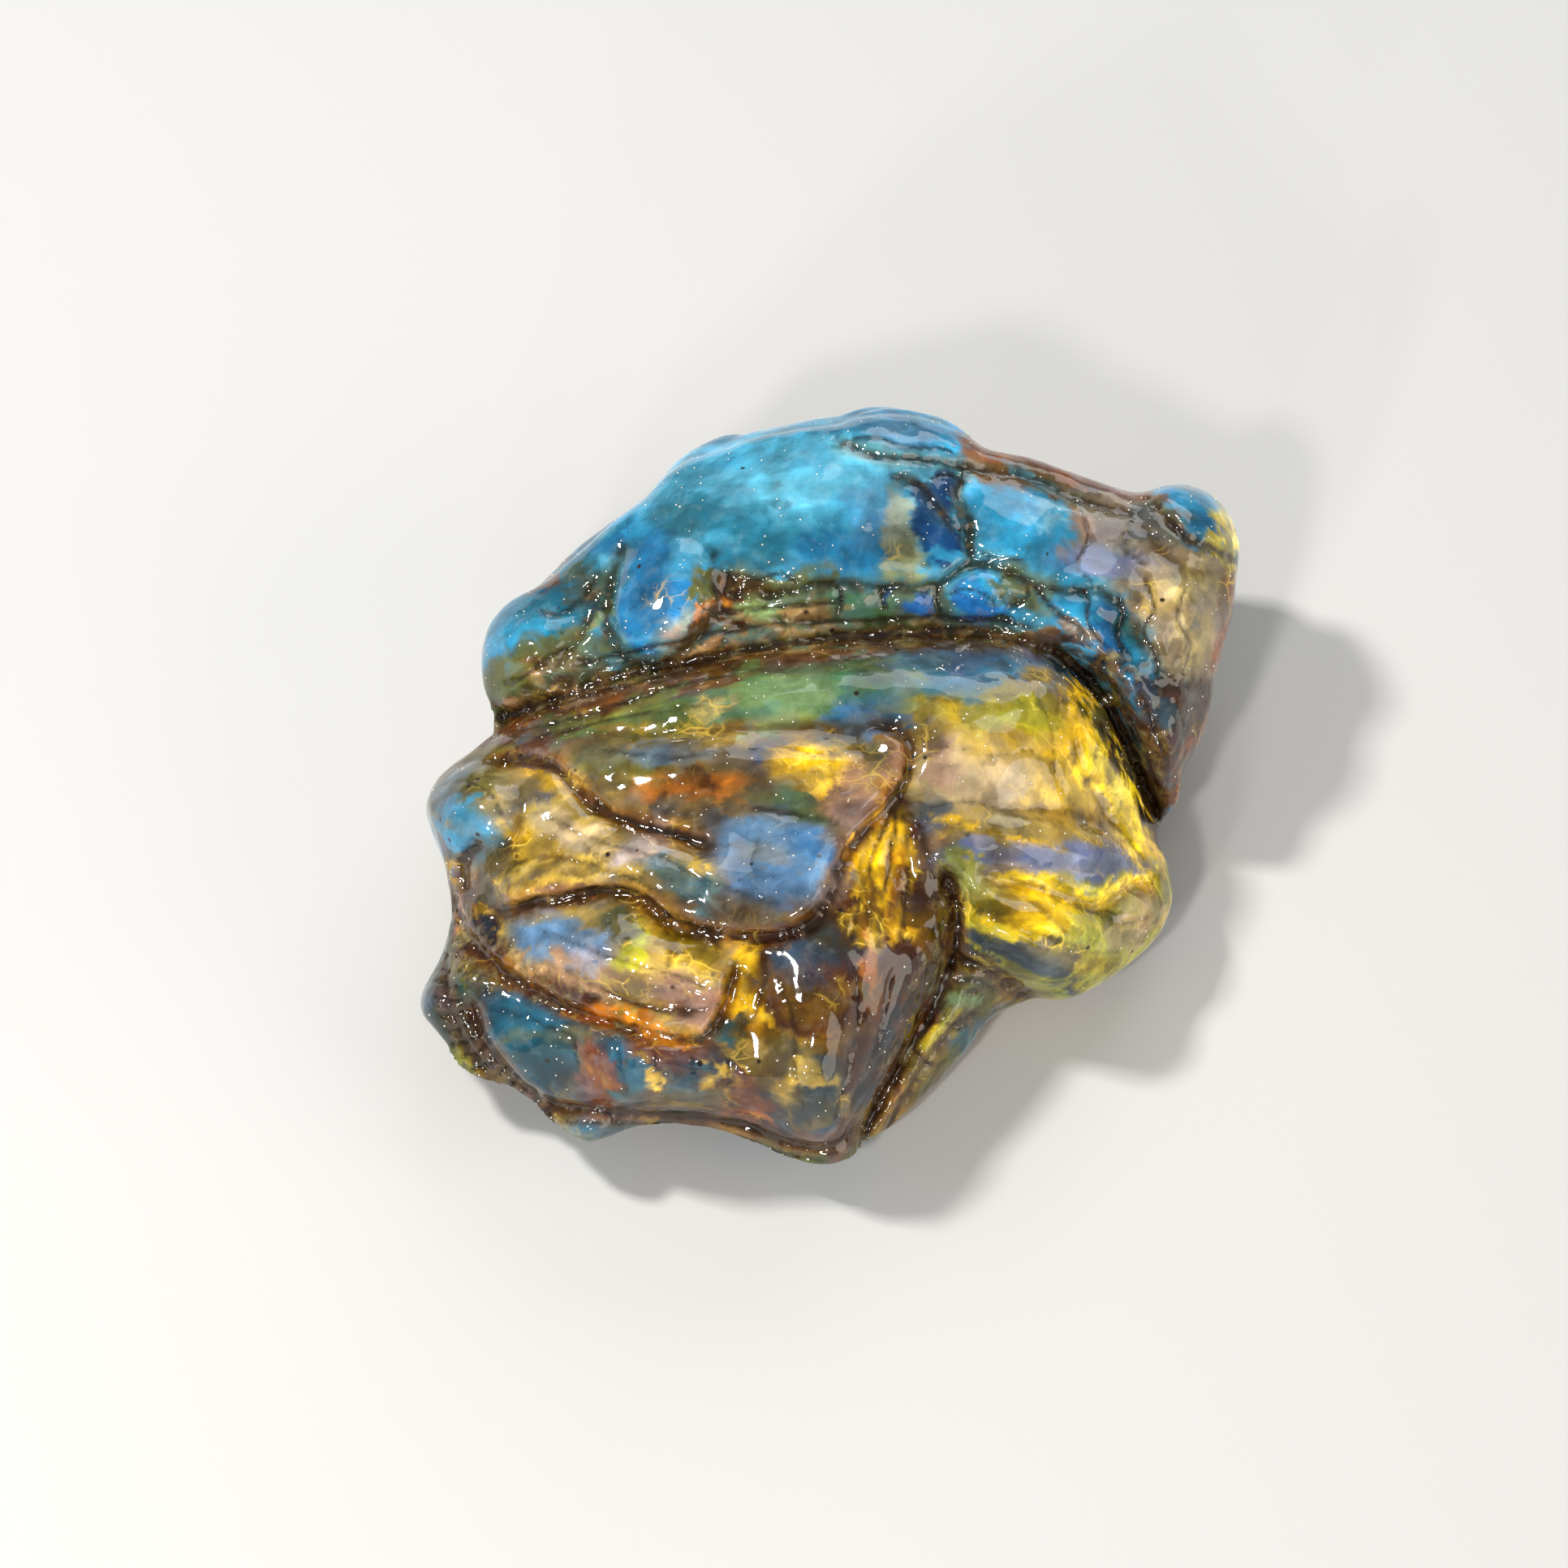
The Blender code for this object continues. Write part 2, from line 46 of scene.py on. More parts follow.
# The nugget, and what a user would change
nugget = {
    "viewElevation": math.radians(52),   # the best face is looked down on this steeply
    "frontDome": 11.5 * mm,
    "backDome": 24.0 * mm,
    "middleHeight": 13.0 * mm,
    "rimDetailFrom": 0.45,
    "rimSteps": 720,
    "rimWindow": 73,                     # steps that the rim's softening spans, an odd number
    "frontFade": (0.02, 0.4),            # how squarely the surface faces the view: none, all
    "farFade": (0.1, -0.35),
    "roughCell": 0.55 * mm,
    "fineCell": 0.325 * mm,
    "mostTriangles": 190000,
    "lipRounding": 0.9 * mm,
    "farElevation": math.radians(18),
    "dishLift": 4.0 * mm,
    "dishReach": 33.0 * mm,
    "wornUpTo": 1.4,
    "footDrop": 3.4 * mm,
    "wornBlend": 0.8 * mm,
    "flatWithin": 0.03 * mm,
    "boxMiddle": (1.24, -8.33),
    "feet": [(-19, -20, 8.5), (5, -31, 8.0), (18, -9, 8.5), (-13, 6, 8.0), (13, 12, 8.0)],
    "swells": [(9.0 * mm, 0.40 * mm), (3.6 * mm, 0.14 * mm)],
    "ripples": [(3.1 * mm, 0.10 * mm), (1.5 * mm, 0.05 * mm), (0.8 * mm, 0.018 * mm)],
    "crustLump": 1.6 * mm,              # wavelength and height of the crust's crumbs
    "crustHeight": 0.50 * mm,
    "wetBump": 1.25 * mm,               # wavelength and height of the wet bumps
    "wetHeight": 0.24 * mm,
}

# across, up and height above the table, clockwise as it is seen
rim = [
    (35.1, 20.6, 16), (34.4, 23.2, 17), (32.6, 25.2, 18), (29.5, 26.0, 19), (27.2, 25.2, 19),
    (24.0, 25.7, 20), (19.5, 27.1, 22), (15.5, 28.3, 24), (13.4, 28.8, 25), (10.6, 30.7, 26),
    (6.5, 31.4, 27), (3.2, 31.2, 27), (1.4, 30.6, 27), (-3.5, 29.9, 26), (-9.5, 28.2, 25),
    (-12.6, 26.6, 24), (-14.4, 24.5, 23), (-17.6, 22.0, 22), (-22.4, 17.8, 20),
    (-26.0, 15.6, 18), (-27.7, 13.4, 17), (-28.0, 10.6, 16), (-27.3, 7.6, 15),
    (-26.6, 5.9, 14), (-28.4, 3.9, 14), (-31.2, 1.6, 13), (-32.3, -0.9, 12),
    (-31.6, -3.6, 11), (-30.7, -6.2, 10), (-30.3, -9.6, 9), (-31.0, -13.1, 7),
    (-32.4, -17.0, 5), (-31.3, -18.9, 5), (-30.3, -20.6, 4), (-29.2, -23.3, 3),
    (-25.2, -25.2, 2), (-22.2, -27.5, 2), (-19.4, -28.8, 2), (-17.4, -28.3, 2),
    (-14.0, -27.3, 2), (-9.5, -27.5, 2), (-5.5, -28.6, 2), (-2.5, -30.0, 2),
    (0.4, -30.5, 2), (3.0, -29.4, 2), (7.5, -25.6, 2), (11.4, -21.6, 2), (14.0, -18.2, 2),
    (17.4, -16.8, 2), (20.6, -16.9, 2), (24.4, -14.7, 3), (27.6, -12.0, 4), (29.2, -8.4, 5),
    (28.7, -5.3, 6), (27.9, -3.2, 6), (29.6, -0.8, 6), (30.3, 2.0, 7), (32.0, 5.4, 9),
    (32.6, 9.4, 11), (33.9, 13.8, 13), (34.8, 17.6, 15),
]

# Lobes on the best face: centre, radii, tilt in degrees, how far raised, and edge.
# An edge of 1 meets its neighbours in a crease, and 2 blends into them.
frontLobes = {
    "upperCrown": ((-4, 23), (18, 7), 14, 2.6, 2),
    "glassBead": ((-12.3, 15.8), (4.9, 5.6), -12, 2.6, 1),
    "backHump": ((6.5, 28.6), (6.2, 2.6), -6, 1.2, 1),
    "cornerKnob": ((31.0, 22.4), (4.6, 3.4), -38, 2.6, 1),
    "leftTip": ((-23.8, 12.6), (4.8, 4.0), 30, 1.8, 2),
    "darkWindow": ((9.4, 22.6), (2.9, 3.8), 12, 0.8, 1),
    "blueField": ((17, 21.8), (5.4, 4.4), -20, 1.5, 2),
    "cellShelf": ((6, 14.8), (15, 3.2), 2, -1.6, 2),
    "cellRound": ((12.9, 16.3), (2.9, 2.2), 10, 1.6, 1),
    "cellLong": ((7.2, 15.6), (2.5, 1.5), 0, 1.0, 1),
    "cellGreen": ((3.2, 15.2), (1.7, 1.4), 0, 0.9, 1),
    "flankUpper": ((29.4, 15), (4.4, 6.5), -6, 2.0, 2),
    "flankLower": ((29.2, 5.4), (2.2, 6.5), -8, 1.4, 2),
    "slateHollow": ((24.6, 13.4), (3.2, 2.6), -40, -1.2, 2),
    "tealBand": ((1, 8.4), (21, 4.0), 4, 2.0, 2),
    "shoulder": ((15, 4), (10.5, 8.5), -14, 3.0, 2),
    "leftNose": ((-28.6, -1.2), (4.4, 4.0), 10, 2.6, 1),
    "flapUpper": ((-8, 2.4), (15, 4.2), 2, 1.6, 2),
    "flapLower": ((-11, -5.4), (14.5, 3.6), -16, 1.8, 2),
    "flapCorner": ((-1.8, -6), (4.2, 4.4), 20, 1.4, 2),
    "lipRoll": ((-16.6, -12.8), (10.4, 4.2), -15, 3.0, 2),
    "bottomRoll": ((-11.5, -21.6), (15.5, 4.6), -8, 3.4, 2),
    "fanHollow": ((6.6, -6.6), (4.6, 7), 12, -1.8, 2),
    "keel": ((-0.5, -19.6), (5.6, 9.5), 6, 2.4, 2),
    "eastRidge": ((18.5, -3.8), (11, 2.8), -6, 1.6, 2),
    "eastBelly": ((18.4, -12), (8.6, 4.6), -22, 3.0, 2),
    "eastHollow": ((15, -12.6), (4.2, 1.5), -22, -0.9, 2),
    "westKnob": ((-31.2, -17.2), (2.2, 2.6), 0, 1.2, 1),
    "toeKnob": ((-19.0, -27.0), (3.0, 1.8), 8, 1.6, 1),
}

# Folds on the best face, as a line of points. Each is cut to its depth over its width to either
# side. A rise lifts the side on its left, walking along the line, and dies away over the spread.
frontFolds = {
    "mainGroove": dict(
        line=[(-30, 5.2), (-24, 7.0), (-18, 9.2), (-12, 10.7), (-5, 12.0), (3, 12.9), (11, 13.2),
              (16, 12.8), (19.5, 11.2)],
        width=4.8, depth=5.0, rise=0, spread=6, fade=2, crust=0.55),
    "grooveStep": dict(
        line=[(-24, 5.0), (-19, 6.4), (-13, 8.4), (-7, 10.0), (0, 10.9), (8, 11.4)],
        width=1.2, depth=0.7, rise=0.5, spread=2.4, fade=4, crust=0.2),
    "rightGap": dict(
        line=[(17.5, 12.8), (20.6, 11.0), (23.2, 8.2), (25.0, 5.0), (26.6, 1.4), (28.6, -3.2)],
        width=3.6, depth=10.0, rise=0, spread=5, fade=3, crust=0.6),
    "flapEdge": dict(
        line=[(-27.4, -9.8), (-24, -8.7), (-20, -7.9), (-16.6, -7.4), (-14.2, -8.1),
              (-11.6, -9.9), (-8.6, -10.8), (-4.6, -11.1), (-1.3, -10.3), (0.5, -8.2),
              (1.4, -5.6), (2.8, -3.3), (5.0, -1.2), (6.5, 1.2), (7.0, 3.4), (5.9, 5.0),
              (2.8, 5.5)],
        width=2.0, depth=1.5, rise=2.4, spread=4.5, fade=3, crust=0.15),
    "flapBack": dict(
        line=[(4, 5.8), (-2, 5.5), (-9, 5.1), (-15, 4.8), (-20, 5.2)],
        width=1.4, depth=0.7, rise=0, spread=2, fade=4, crust=0),
    "slit": dict(
        line=[(-7.4, -4.5), (-10.5, -3.4), (-14.5, -2.3), (-17.4, -1.2), (-19.4, 0.6),
              (-21.8, 2.6), (-25, 3.1), (-28.5, 2.2)],
        width=1.6, depth=2.0, rise=-1.3, spread=4, fade=2.5, crust=0.2),
    "noseNotch": dict(
        line=[(-26.8, -3.6), (-28.4, -4.6), (-29.0, -6.2), (-28.2, -8.6)],
        width=1.7, depth=2.6, rise=0, spread=2, fade=1, crust=0.5),
    "leftRavine": dict(
        line=[(-30.2, -7.0), (-28.8, -10.6), (-26.6, -13.4), (-23.6, -15.4), (-20.0, -17.0),
              (-16, -18.3), (-11, -19.4), (-9.0, -18.8), (-7.6, -16), (-6.8, -12.6)],
        width=2.0, depth=1.9, rise=1.8, spread=3.6, fade=2, crust=0.4),
    "bottomEdge": dict(
        line=[(-28.6, -15.6), (-27.2, -19.6), (-24.6, -22.9), (-21.6, -24.9), (-15, -25.4),
              (-8, -26.2), (-1, -28.0), (1.8, -27.4), (3.0, -24.8)],
        width=1.8, depth=2.4, rise=1.2, spread=4, fade=2, crust=0.3),
    "westRib": dict(
        line=[(-30.4, -12.2), (-30.2, -16.2), (-29.2, -19.0), (-26.9, -22.4), (-24.0, -25.6)],
        width=1.2, depth=1.2, rise=0, spread=2, fade=2, crust=0.3),
    "eastValley": dict(
        line=[(2.6, -29.6), (4.4, -25.6), (7.2, -20.6), (9.8, -15.8), (11.0, -11.6),
              (10.8, -8.0), (9.0, -5.0)],
        width=3.4, depth=5.0, rise=0, spread=3, fade=3, crust=0.5),
    "shelfStep": dict(
        line=[(4.6, -28.6), (7.0, -24.0), (9.8, -19.8), (13.2, -16.6)],
        width=1.4, depth=1.2, rise=0.8, spread=2.4, fade=2, crust=0.5),
    "eastStep": dict(
        line=[(28.2, -7.0), (25.4, -7.2), (22.4, -8.9), (19.0, -7.8), (15.6, -6.8),
              (12.2, -5.8)],
        width=1.8, depth=1.4, rise=-1.6, spread=3, fade=2, crust=0),
    "bellyLine": dict(
        line=[(11.2, -8.8), (15, -10.1), (20, -12.8), (24.4, -14.6)],
        width=1.3, depth=0.8, rise=-0.5, spread=2, fade=2, crust=0),
    "eastUnder": dict(
        line=[(9.8, -12.8), (13.5, -14.2), (16.6, -16.2), (20.0, -18.4)],
        width=1.8, depth=2.2, rise=0, spread=3, fade=1.5, crust=0.6),
    "rimBevel": dict(
        line=[(19.4, 10.6), (20.4, 5.5), (21.6, 1.6), (24.0, -2.4), (27.4, -6.4)],
        width=1.6, depth=0.7, rise=0.5, spread=2.4, fade=2, crust=0),
    "beadEdge": dict(
        line=[(-15.8, 21.4), (-16.8, 18.4), (-17.4, 14.6), (-16.2, 11.6), (-13.4, 11.0),
              (-10.2, 12.8), (-8.2, 16.0), (-9.2, 18.6)],
        width=1.5, depth=1.3, rise=0, spread=2, fade=1.5, crust=0.3),
    "drip": dict(
        line=[(-19.6, 18.6), (-18.6, 15.6), (-19.6, 12.6), (-21.8, 10.2)],
        width=1.3, depth=0.9, rise=0.6, spread=2, fade=1.5, crust=0.4),
    "crackLeft": dict(
        line=[(5.4, 26.4), (8.0, 25.6), (9.4, 24.0), (11.6, 21.4)],
        width=1.1, depth=0.9, rise=0.5, spread=2.5, fade=1, crust=0.35),
    "crackRight": dict(
        line=[(12.4, 27.0), (11.3, 24.8), (12.1, 22.4), (12.5, 18.8)],
        width=1.1, depth=1.2, rise=0, spread=2, fade=1, crust=0.45),
    "humpSeam": dict(
        line=[(0.5, 29.8), (3.0, 28.4), (6.0, 27.6), (9.0, 27.6), (12.2, 27.0), (17.5, 26.0),
              (22, 24.2), (26.6, 23.0)],
        width=1.6, depth=1.4, rise=0, spread=3, fade=2, crust=0.3),
    "cellWall": dict(
        line=[(-8.5, 17.8), (-3, 16.8), (0, 17.4), (6, 17.2), (9.4, 17.3), (12.0, 18.9),
              (14.6, 18.9), (17.2, 17.6), (20.0, 16.8), (23.0, 16.8), (25.6, 15.0)],
        width=1.3, depth=1.2, rise=1.0, spread=3, fade=2, crust=0.28),
    "flankSeam": dict(
        line=[(25.6, 15.8), (26.8, 12.4), (29.0, 9.6), (32.8, 8.4)],
        width=1.3, depth=0.9, rise=0.6, spread=3, fade=2, crust=0.3),
    "knobSeam": dict(
        line=[(26.8, 25.4), (28.6, 23.0), (31.0, 20.9), (35.0, 19.4)],
        width=1.4, depth=1.3, rise=0, spread=2, fade=1, crust=0.5),
}

# The far side isn't in the photograph, so it has plain broad lobes and folds of the same kind.
# They are placed as they are seen from behind.
farLobes = {
    "farRoll": ((-2, 19), (22, 5.5), -8, 2.6, 2),
    "farBelly": ((-15, 5.5), (11, 6.5), 14, 3.0, 2),
    "farBoss": ((19, 9), (9, 6.0), 10, 2.8, 2),
    "farLow": ((3, 6), (8, 6), 0, 2.2, 2),
    "farBead": ((9.5, 15.4), (4.2, 3.2), 20, 1.6, 1),
}
farFolds = {
    "farGroove": dict(
        line=[(-34, 7.0), (-27, 9.6), (-19, 12.6), (-10, 12.4), (-2, 12.0), (7, 13.2),
              (14, 15.2), (22, 15.6), (28, 14.6), (34, 13.6)],
        width=3.8, depth=3.4, rise=1.0, spread=6, fade=1, crust=0.7),
    "farBranch": dict(
        line=[(10.5, 14.4), (11.8, 9.6), (9.8, 5.0), (11.6, -2)],
        width=2.6, depth=2.2, rise=0.8, spread=4, fade=1, crust=0.8),
    "farSplit": dict(
        line=[(-6.4, 12.2), (-4.6, 8.0), (-7.0, 3.6), (-5.0, -3)],
        width=2.6, depth=2.2, rise=1.0, spread=4, fade=1, crust=0.7),
    "farCrease": dict(
        line=[(-27, 17), (-20, 18.6), (-12, 17.2), (-3, 19.4), (5, 23)],
        width=1.8, depth=1.4, rise=0.9, spread=4, fade=3, crust=0.6),
    "farStep": dict(
        line=[(-31, 3.6), (-23, 4.4), (-16, 1.2), (-11, 2.4), (-6.4, 4.0)],
        width=1.8, depth=1.2, rise=0.9, spread=3, fade=3, crust=0.5),
}

# Fine creases that the solid is too coarse for: line, width, depth and how brown, which also sets
# the painted shade in the crease
fineFolds = {
    "bandRidgeA": ([(-26.5, 6.4), (-22, 7.2), (-18, 8.4), (-13, 9.8), (-8, 11)], 0.7, 0.5, 1),
    "bandRidgeB": ([(-25.5, 5.2), (-21, 6.0), (-17, 7.2), (-12, 8.8), (-6, 10)], 0.6, 0.4, 0.8),
    "bandRidgeC": ([(-24, 4.5), (-19, 5.6), (-14, 6.7), (-9, 7.4)], 0.5, 0.3, 0.6),
    "bankA": ([(-20, 10.6), (-14, 12.1), (-8, 13.3), (-2, 14.1), (4, 14.3), (10, 14.6),
               (15, 14.4), (18, 13.6)], 0.7, 0.5, 1),
    "bankB": ([(-9.4, 14.8), (-4, 15.3), (0.6, 15.7), (2.4, 16.4)], 0.6, 0.5, 0.9),
    "bankC": ([(-8.2, 18.3), (-5.2, 17.6), (-3.2, 18.2), (-1.4, 17)], 0.6, 0.5, 0.9),
    "cellA": ([(1.2, 17.3), (1.7, 15.8), (1.2, 14.4)], 0.6, 0.5, 1),
    "cellB": ([(5.1, 17.2), (5.2, 15.8), (5.7, 14.5)], 0.6, 0.6, 1),
    "cellC": ([(9.7, 17.4), (9.5, 16), (10, 14.6)], 0.6, 0.6, 1),
    "cellD": ([(10.1, 14.8), (12.4, 14.2), (14.7, 14.8), (16.6, 14.3)], 0.5, 0.4, 1),
    "cellE": ([(10, 16.2), (11.8, 16.9), (13.8, 16.2), (14.5, 15)], 0.4, 0.3, 0.5),
    "eyeRing": ([(14.5, 17), (15.2, 18.1), (16.5, 18), (17.1, 16.9), (16.5, 15.8),
                 (15.2, 15.8), (14.5, 17)], 0.5, 0.4, 0.8),
    "curlA": ([(17.4, 17.8), (18.3, 16.2), (19.6, 14.8), (21.2, 13.8), (21.6, 12.4)],
              0.7, 0.6, 1),
    "curlB": ([(20.6, 17.4), (22, 15.9), (21.8, 14.3), (22.8, 12.8), (24.2, 11.8)],
              0.6, 0.5, 0.9),
    "curlC": ([(24.5, 17), (25, 14.8), (24.4, 13), (25.7, 10.8)], 0.6, 0.6, 1),
    "curlD": ([(26.8, 18.2), (27.4, 15.6), (26.6, 13.4), (27.8, 11.4), (27.4, 9.2)],
              0.6, 0.5, 0.9),
    "flankCrackA": ([(30.2, 17.6), (29.4, 14.8), (30.4, 12.2), (29.6, 9.4)], 0.5, 0.3, 0.6),
    "flankCrackB": ([(26.4, 8.4), (27.4, 5.6), (28.4, 3), (28.8, 0.4)], 0.6, 0.5, 0.9),
    "flankCrackC": ([(29.4, 7.6), (30, 4.8), (30.2, 2.6)], 0.5, 0.3, 0.8),
    "gapRib": ([(21.2, 11.8), (23.4, 9.8), (25.2, 7.2), (26.8, 3.8), (28.2, 0.2)], 0.6, 0.6, 1),
    "crownCrackA": ([(8.6, 25.9), (10.4, 26.2), (11.9, 26.3)], 0.5, 0.4, 0.8),
    "crownCrackB": ([(12.5, 20.4), (14.4, 19.4), (17.2, 19.4)], 0.5, 0.3, 0.5),
    "crownCrackC": ([(21.4, 24.2), (22.2, 21.4), (21.2, 19), (22.6, 17.2)], 0.5, 0.3, 0.7),
    "crownCrackD": ([(26.2, 23.4), (25.2, 20.8), (27.2, 18.6)], 0.5, 0.3, 0.7),
    "humpLoop": ([(2.2, 29.1), (4.6, 29.4), (7.2, 28.6), (9.6, 28.6), (11.6, 27.9)],
                 0.6, 0.5, 0.8),
    "tipCrease": ([(-26.4, 9.2), (-24, 9.8), (-22.2, 11.4), (-19.8, 12)], 0.7, 0.5, 0.7),
    "slopeCrease": ([(-23.6, 15.4), (-21.4, 14.8), (-19.4, 16.2), (-17.8, 19)], 0.7, 0.4, 0.6),
    "shoulderA": ([(7.4, 3.1), (10, 3.9), (14, 3.2), (18, 3.8)], 0.9, 0.12, 0),
    "shoulderB": ([(8, -1.2), (12, -0.5), (16, -1.7), (20.4, -2.3)], 0.8, 0.12, 0),
    "shoulderC": ([(17, 9.6), (18.6, 6), (19, 2), (20.6, -1)], 0.8, 0.2, 0),
    "flapA": ([(-18, 3.7), (-12, 3.1), (-6, 3.7), (0, 3.3), (4.4, 3.9)], 0.8, 0.22, 0.15),
    "flapB": ([(-6, -1), (-1, -1.7), (2.2, -2.6)], 0.8, 0.25, 0.1),
    "flapC": ([(-22.6, -1.4), (-18, -3.6), (-13, -5), (-8, -7.2), (-3, -9)], 0.8, 0.3, 0),
    "flapD": ([(-25.2, -5.6), (-21, -5), (-17, -6), (-12, -8.2)], 0.7, 0.3, 0.1),
    "noseLine": ([(-31.4, 0.6), (-29.4, 1.2), (-26.8, 0.2), (-25.6, -2.2)], 0.8, 0.3, 0.2),
    "lipA": ([(-23.4, -10.4), (-18.4, -12.3), (-13.8, -13.7), (-8.6, -15.4)], 0.8, 0.3, 0),
    "lipB": ([(-21, -13.6), (-16.6, -15.8), (-12, -17.2), (-8.6, -17)], 0.7, 0.3, 0.1),
    "lipC": ([(-13.2, -9.6), (-12, -12), (-12.6, -15)], 0.6, 0.2, 0),
    "wedgeA": ([(-4.8, -12.2), (-4.6, -15), (-5.4, -18.2)], 0.7, 0.4, 0.3),
    "bottomA": ([(-19.9, -18.9), (-19.4, -21.2), (-18.6, -24.2)], 0.7, 0.3, 0),
    "bottomB": ([(-16.3, -19.1), (-15.9, -21.8), (-15.2, -24.8)], 0.7, 0.3, 0),
    "bottomC": ([(-13.3, -19.6), (-12.9, -22.2), (-12.4, -25)], 0.6, 0.3, 0),
    "bottomD": ([(-10.3, -20.2), (-10.1, -22.6), (-9.8, -25.2)], 0.6, 0.3, 0),
    "bottomE": ([(-7.4, -20.2), (-7.2, -22.8), (-6.9, -25.6)], 0.6, 0.3, 0),
    "bottomF": ([(-27, -17.2), (-23, -18), (-19, -19.8)], 0.7, 0.3, 0.3),
    "toeLine": ([(-21, -26.2), (-14.6, -26.4), (-8, -27.2), (-2.4, -28.9), (1, -29.4)],
                0.7, 0.5, 0.5),
    "fanA": ([(5.7, -0.4), (3.4, -3), (1.9, -5.6)], 0.6, 0.3, 0.2),
    "fanB": ([(5.9, -0.6), (4.4, -4.4), (3, -8.6), (2.4, -12)], 0.6, 0.4, 0.3),
    "fanC": ([(6.2, -0.8), (5.6, -5), (4.9, -9), (4.6, -12.6)], 0.6, 0.4, 0.3),
    "fanD": ([(6.6, -1), (7.2, -5), (6.8, -9), (6.6, -12.2)], 0.6, 0.4, 0.3),
    "fanE": ([(7.2, -1), (8.4, -4), (9, -7.4)], 0.6, 0.3, 0.2),
    "keelA": ([(-3.6, -14), (-2.2, -18), (-1.8, -23), (-0.6, -27)], 0.8, 0.35, 0.2),
    "keelB": ([(2.8, -13), (3, -17), (2, -22), (0.9, -26.4)], 0.8, 0.4, 0.3),
    "keelC": ([(5.8, -13.6), (5, -18), (3.4, -22.6)], 0.7, 0.4, 0.4),
    "eastGold": ([(13.5, -5.7), (18, -6.9), (21.8, -8.6), (24.4, -7.6), (28, -6.4)],
                 0.6, 0.5, 0),
    "eastRingA": ([(15.6, -10.9), (18.6, -11.4), (21.6, -12.6), (24.8, -12.6)], 0.6, 0.3, 0),
    "eastRingB": ([(17.2, -13), (19.8, -14.1), (23, -14)], 0.6, 0.3, 0),
    "eastRingC": ([(22.8, -9.8), (25, -10.4), (27.6, -9.6)], 0.6, 0.3, 0),
    "eastLedge": ([(11.5, -12.4), (14, -13.7), (16.5, -15.6), (18.4, -16.6)], 0.7, 0.5, 0.5),
    "shelfA": ([(10.4, -15.2), (12.6, -15), (15, -16.2)], 0.6, 0.5, 0.5),
    "shelfB": ([(9.2, -17.6), (11, -18.8), (12.4, -18)], 0.6, 0.5, 0.6),
    "shelfC": ([(7.4, -20.2), (9, -21.8), (10.6, -21.2)], 0.6, 0.5, 0.6),
}

# Small glassy pits and bubbles: centre, radii, depth; a bubble has a negative depth
pits = [
    ((-22.8, 10.7), (1.0, 0.7), 0.6), ((-20.9, 9.3), (1.2, 0.7), 0.7),
    ((-19.3, 10.9), (0.9, 0.6), 0.5), ((-23.8, 8.7), (0.8, 0.5), 0.4),
    ((-17.6, 10.6), (0.8, 0.5), 0.4), ((-6.4, 13.9), (1.3, 0.5), 0.5),
    ((-3.6, 14.5), (1.1, 0.5), 0.4), ((-6.8, 16.2), (1.0, 0.7), 0.6),
    ((-4.0, 16.4), (1.2, 0.6), 0.6), ((-11.6, 12.1), (1.0, 0.4), 0.4),
    ((7.5, -3.0), (0.8, 0.8), -0.3), ((15.8, 16.9), (0.7, 0.7), -0.3),
    ((2.8, -15.9), (0.5, 0.5), 0.2), ((20.2, 12.9), (0.7, 0.5), 0.4),
    ((23.1, 10.9), (0.9, 0.7), 0.5), ((12.2, -15.9), (0.7, 0.5), 0.4),
    ((-26.6, -15.8), (0.6, 0.5), 0.4), ((-28.2, -11.6), (0.6, 0.5), 0.4),
]

# Where the surface is beaded with small wet bumps: centre, radii, tilt and how much
wetSpots = [
    ((-20.5, 9.6), (3.6, 1.7), 16, 1.3), ((-13.4, 10.6), (4.4, 1.2), 14, 0.9),
    ((-4, 14.8), (5.4, 2.4), 6, 1.4), ((-8, 19), (2, 1.5), 0, 0.8),
    ((-22, -6.4), (3.6, 1.5), 10, 1.0), ((-15.6, -6.2), (3.8, 1.7), -14, 1.0),
    ((-9.4, -8.2), (3.6, 1.6), -30, 0.9), ((-12.6, -1.2), (4.4, 1.2), -14, 1.0),
    ((-17.8, 1.6), (3, 1), -34, 0.6), ((-23, 5.4), (3.6, 1.2), 14, 0.7),
    ((-22.6, -17.4), (4.4, 0.9), -24, 0.7), ((-27.8, -20.4), (1.4, 4.6), 35, 0.8),
    ((-26, -13), (3, 1.5), -45, 0.6), ((11, -17), (4.4, 1.7), -50, 0.9),
    ((23, 9.6), (1.5, 4.4), 38, 0.8), ((-5, -28), (8, 0.8), -10, 0.6),
    ((14, 15.8), (5, 2.2), 0, 0.4), ((24.6, -2), (1, 4), 28, 0.5),
    ((-21.6, 17.2), (2.4, 0.9), 38, 0.6),
]

# The ribbed band down the left edge: a path, with short ribs across it
ribBand = {
    "path": [(-30.2, -8.4), (-30.2, -13.6), (-29.8, -17.6), (-27.4, -21.2), (-24.6, -24.2),
             (-22.4, -26.2)],
    "count": 17,
    "reach": 1.3,
    "width": 0.55,
    "depth": 0.45,
    "fade": 0.3,
}

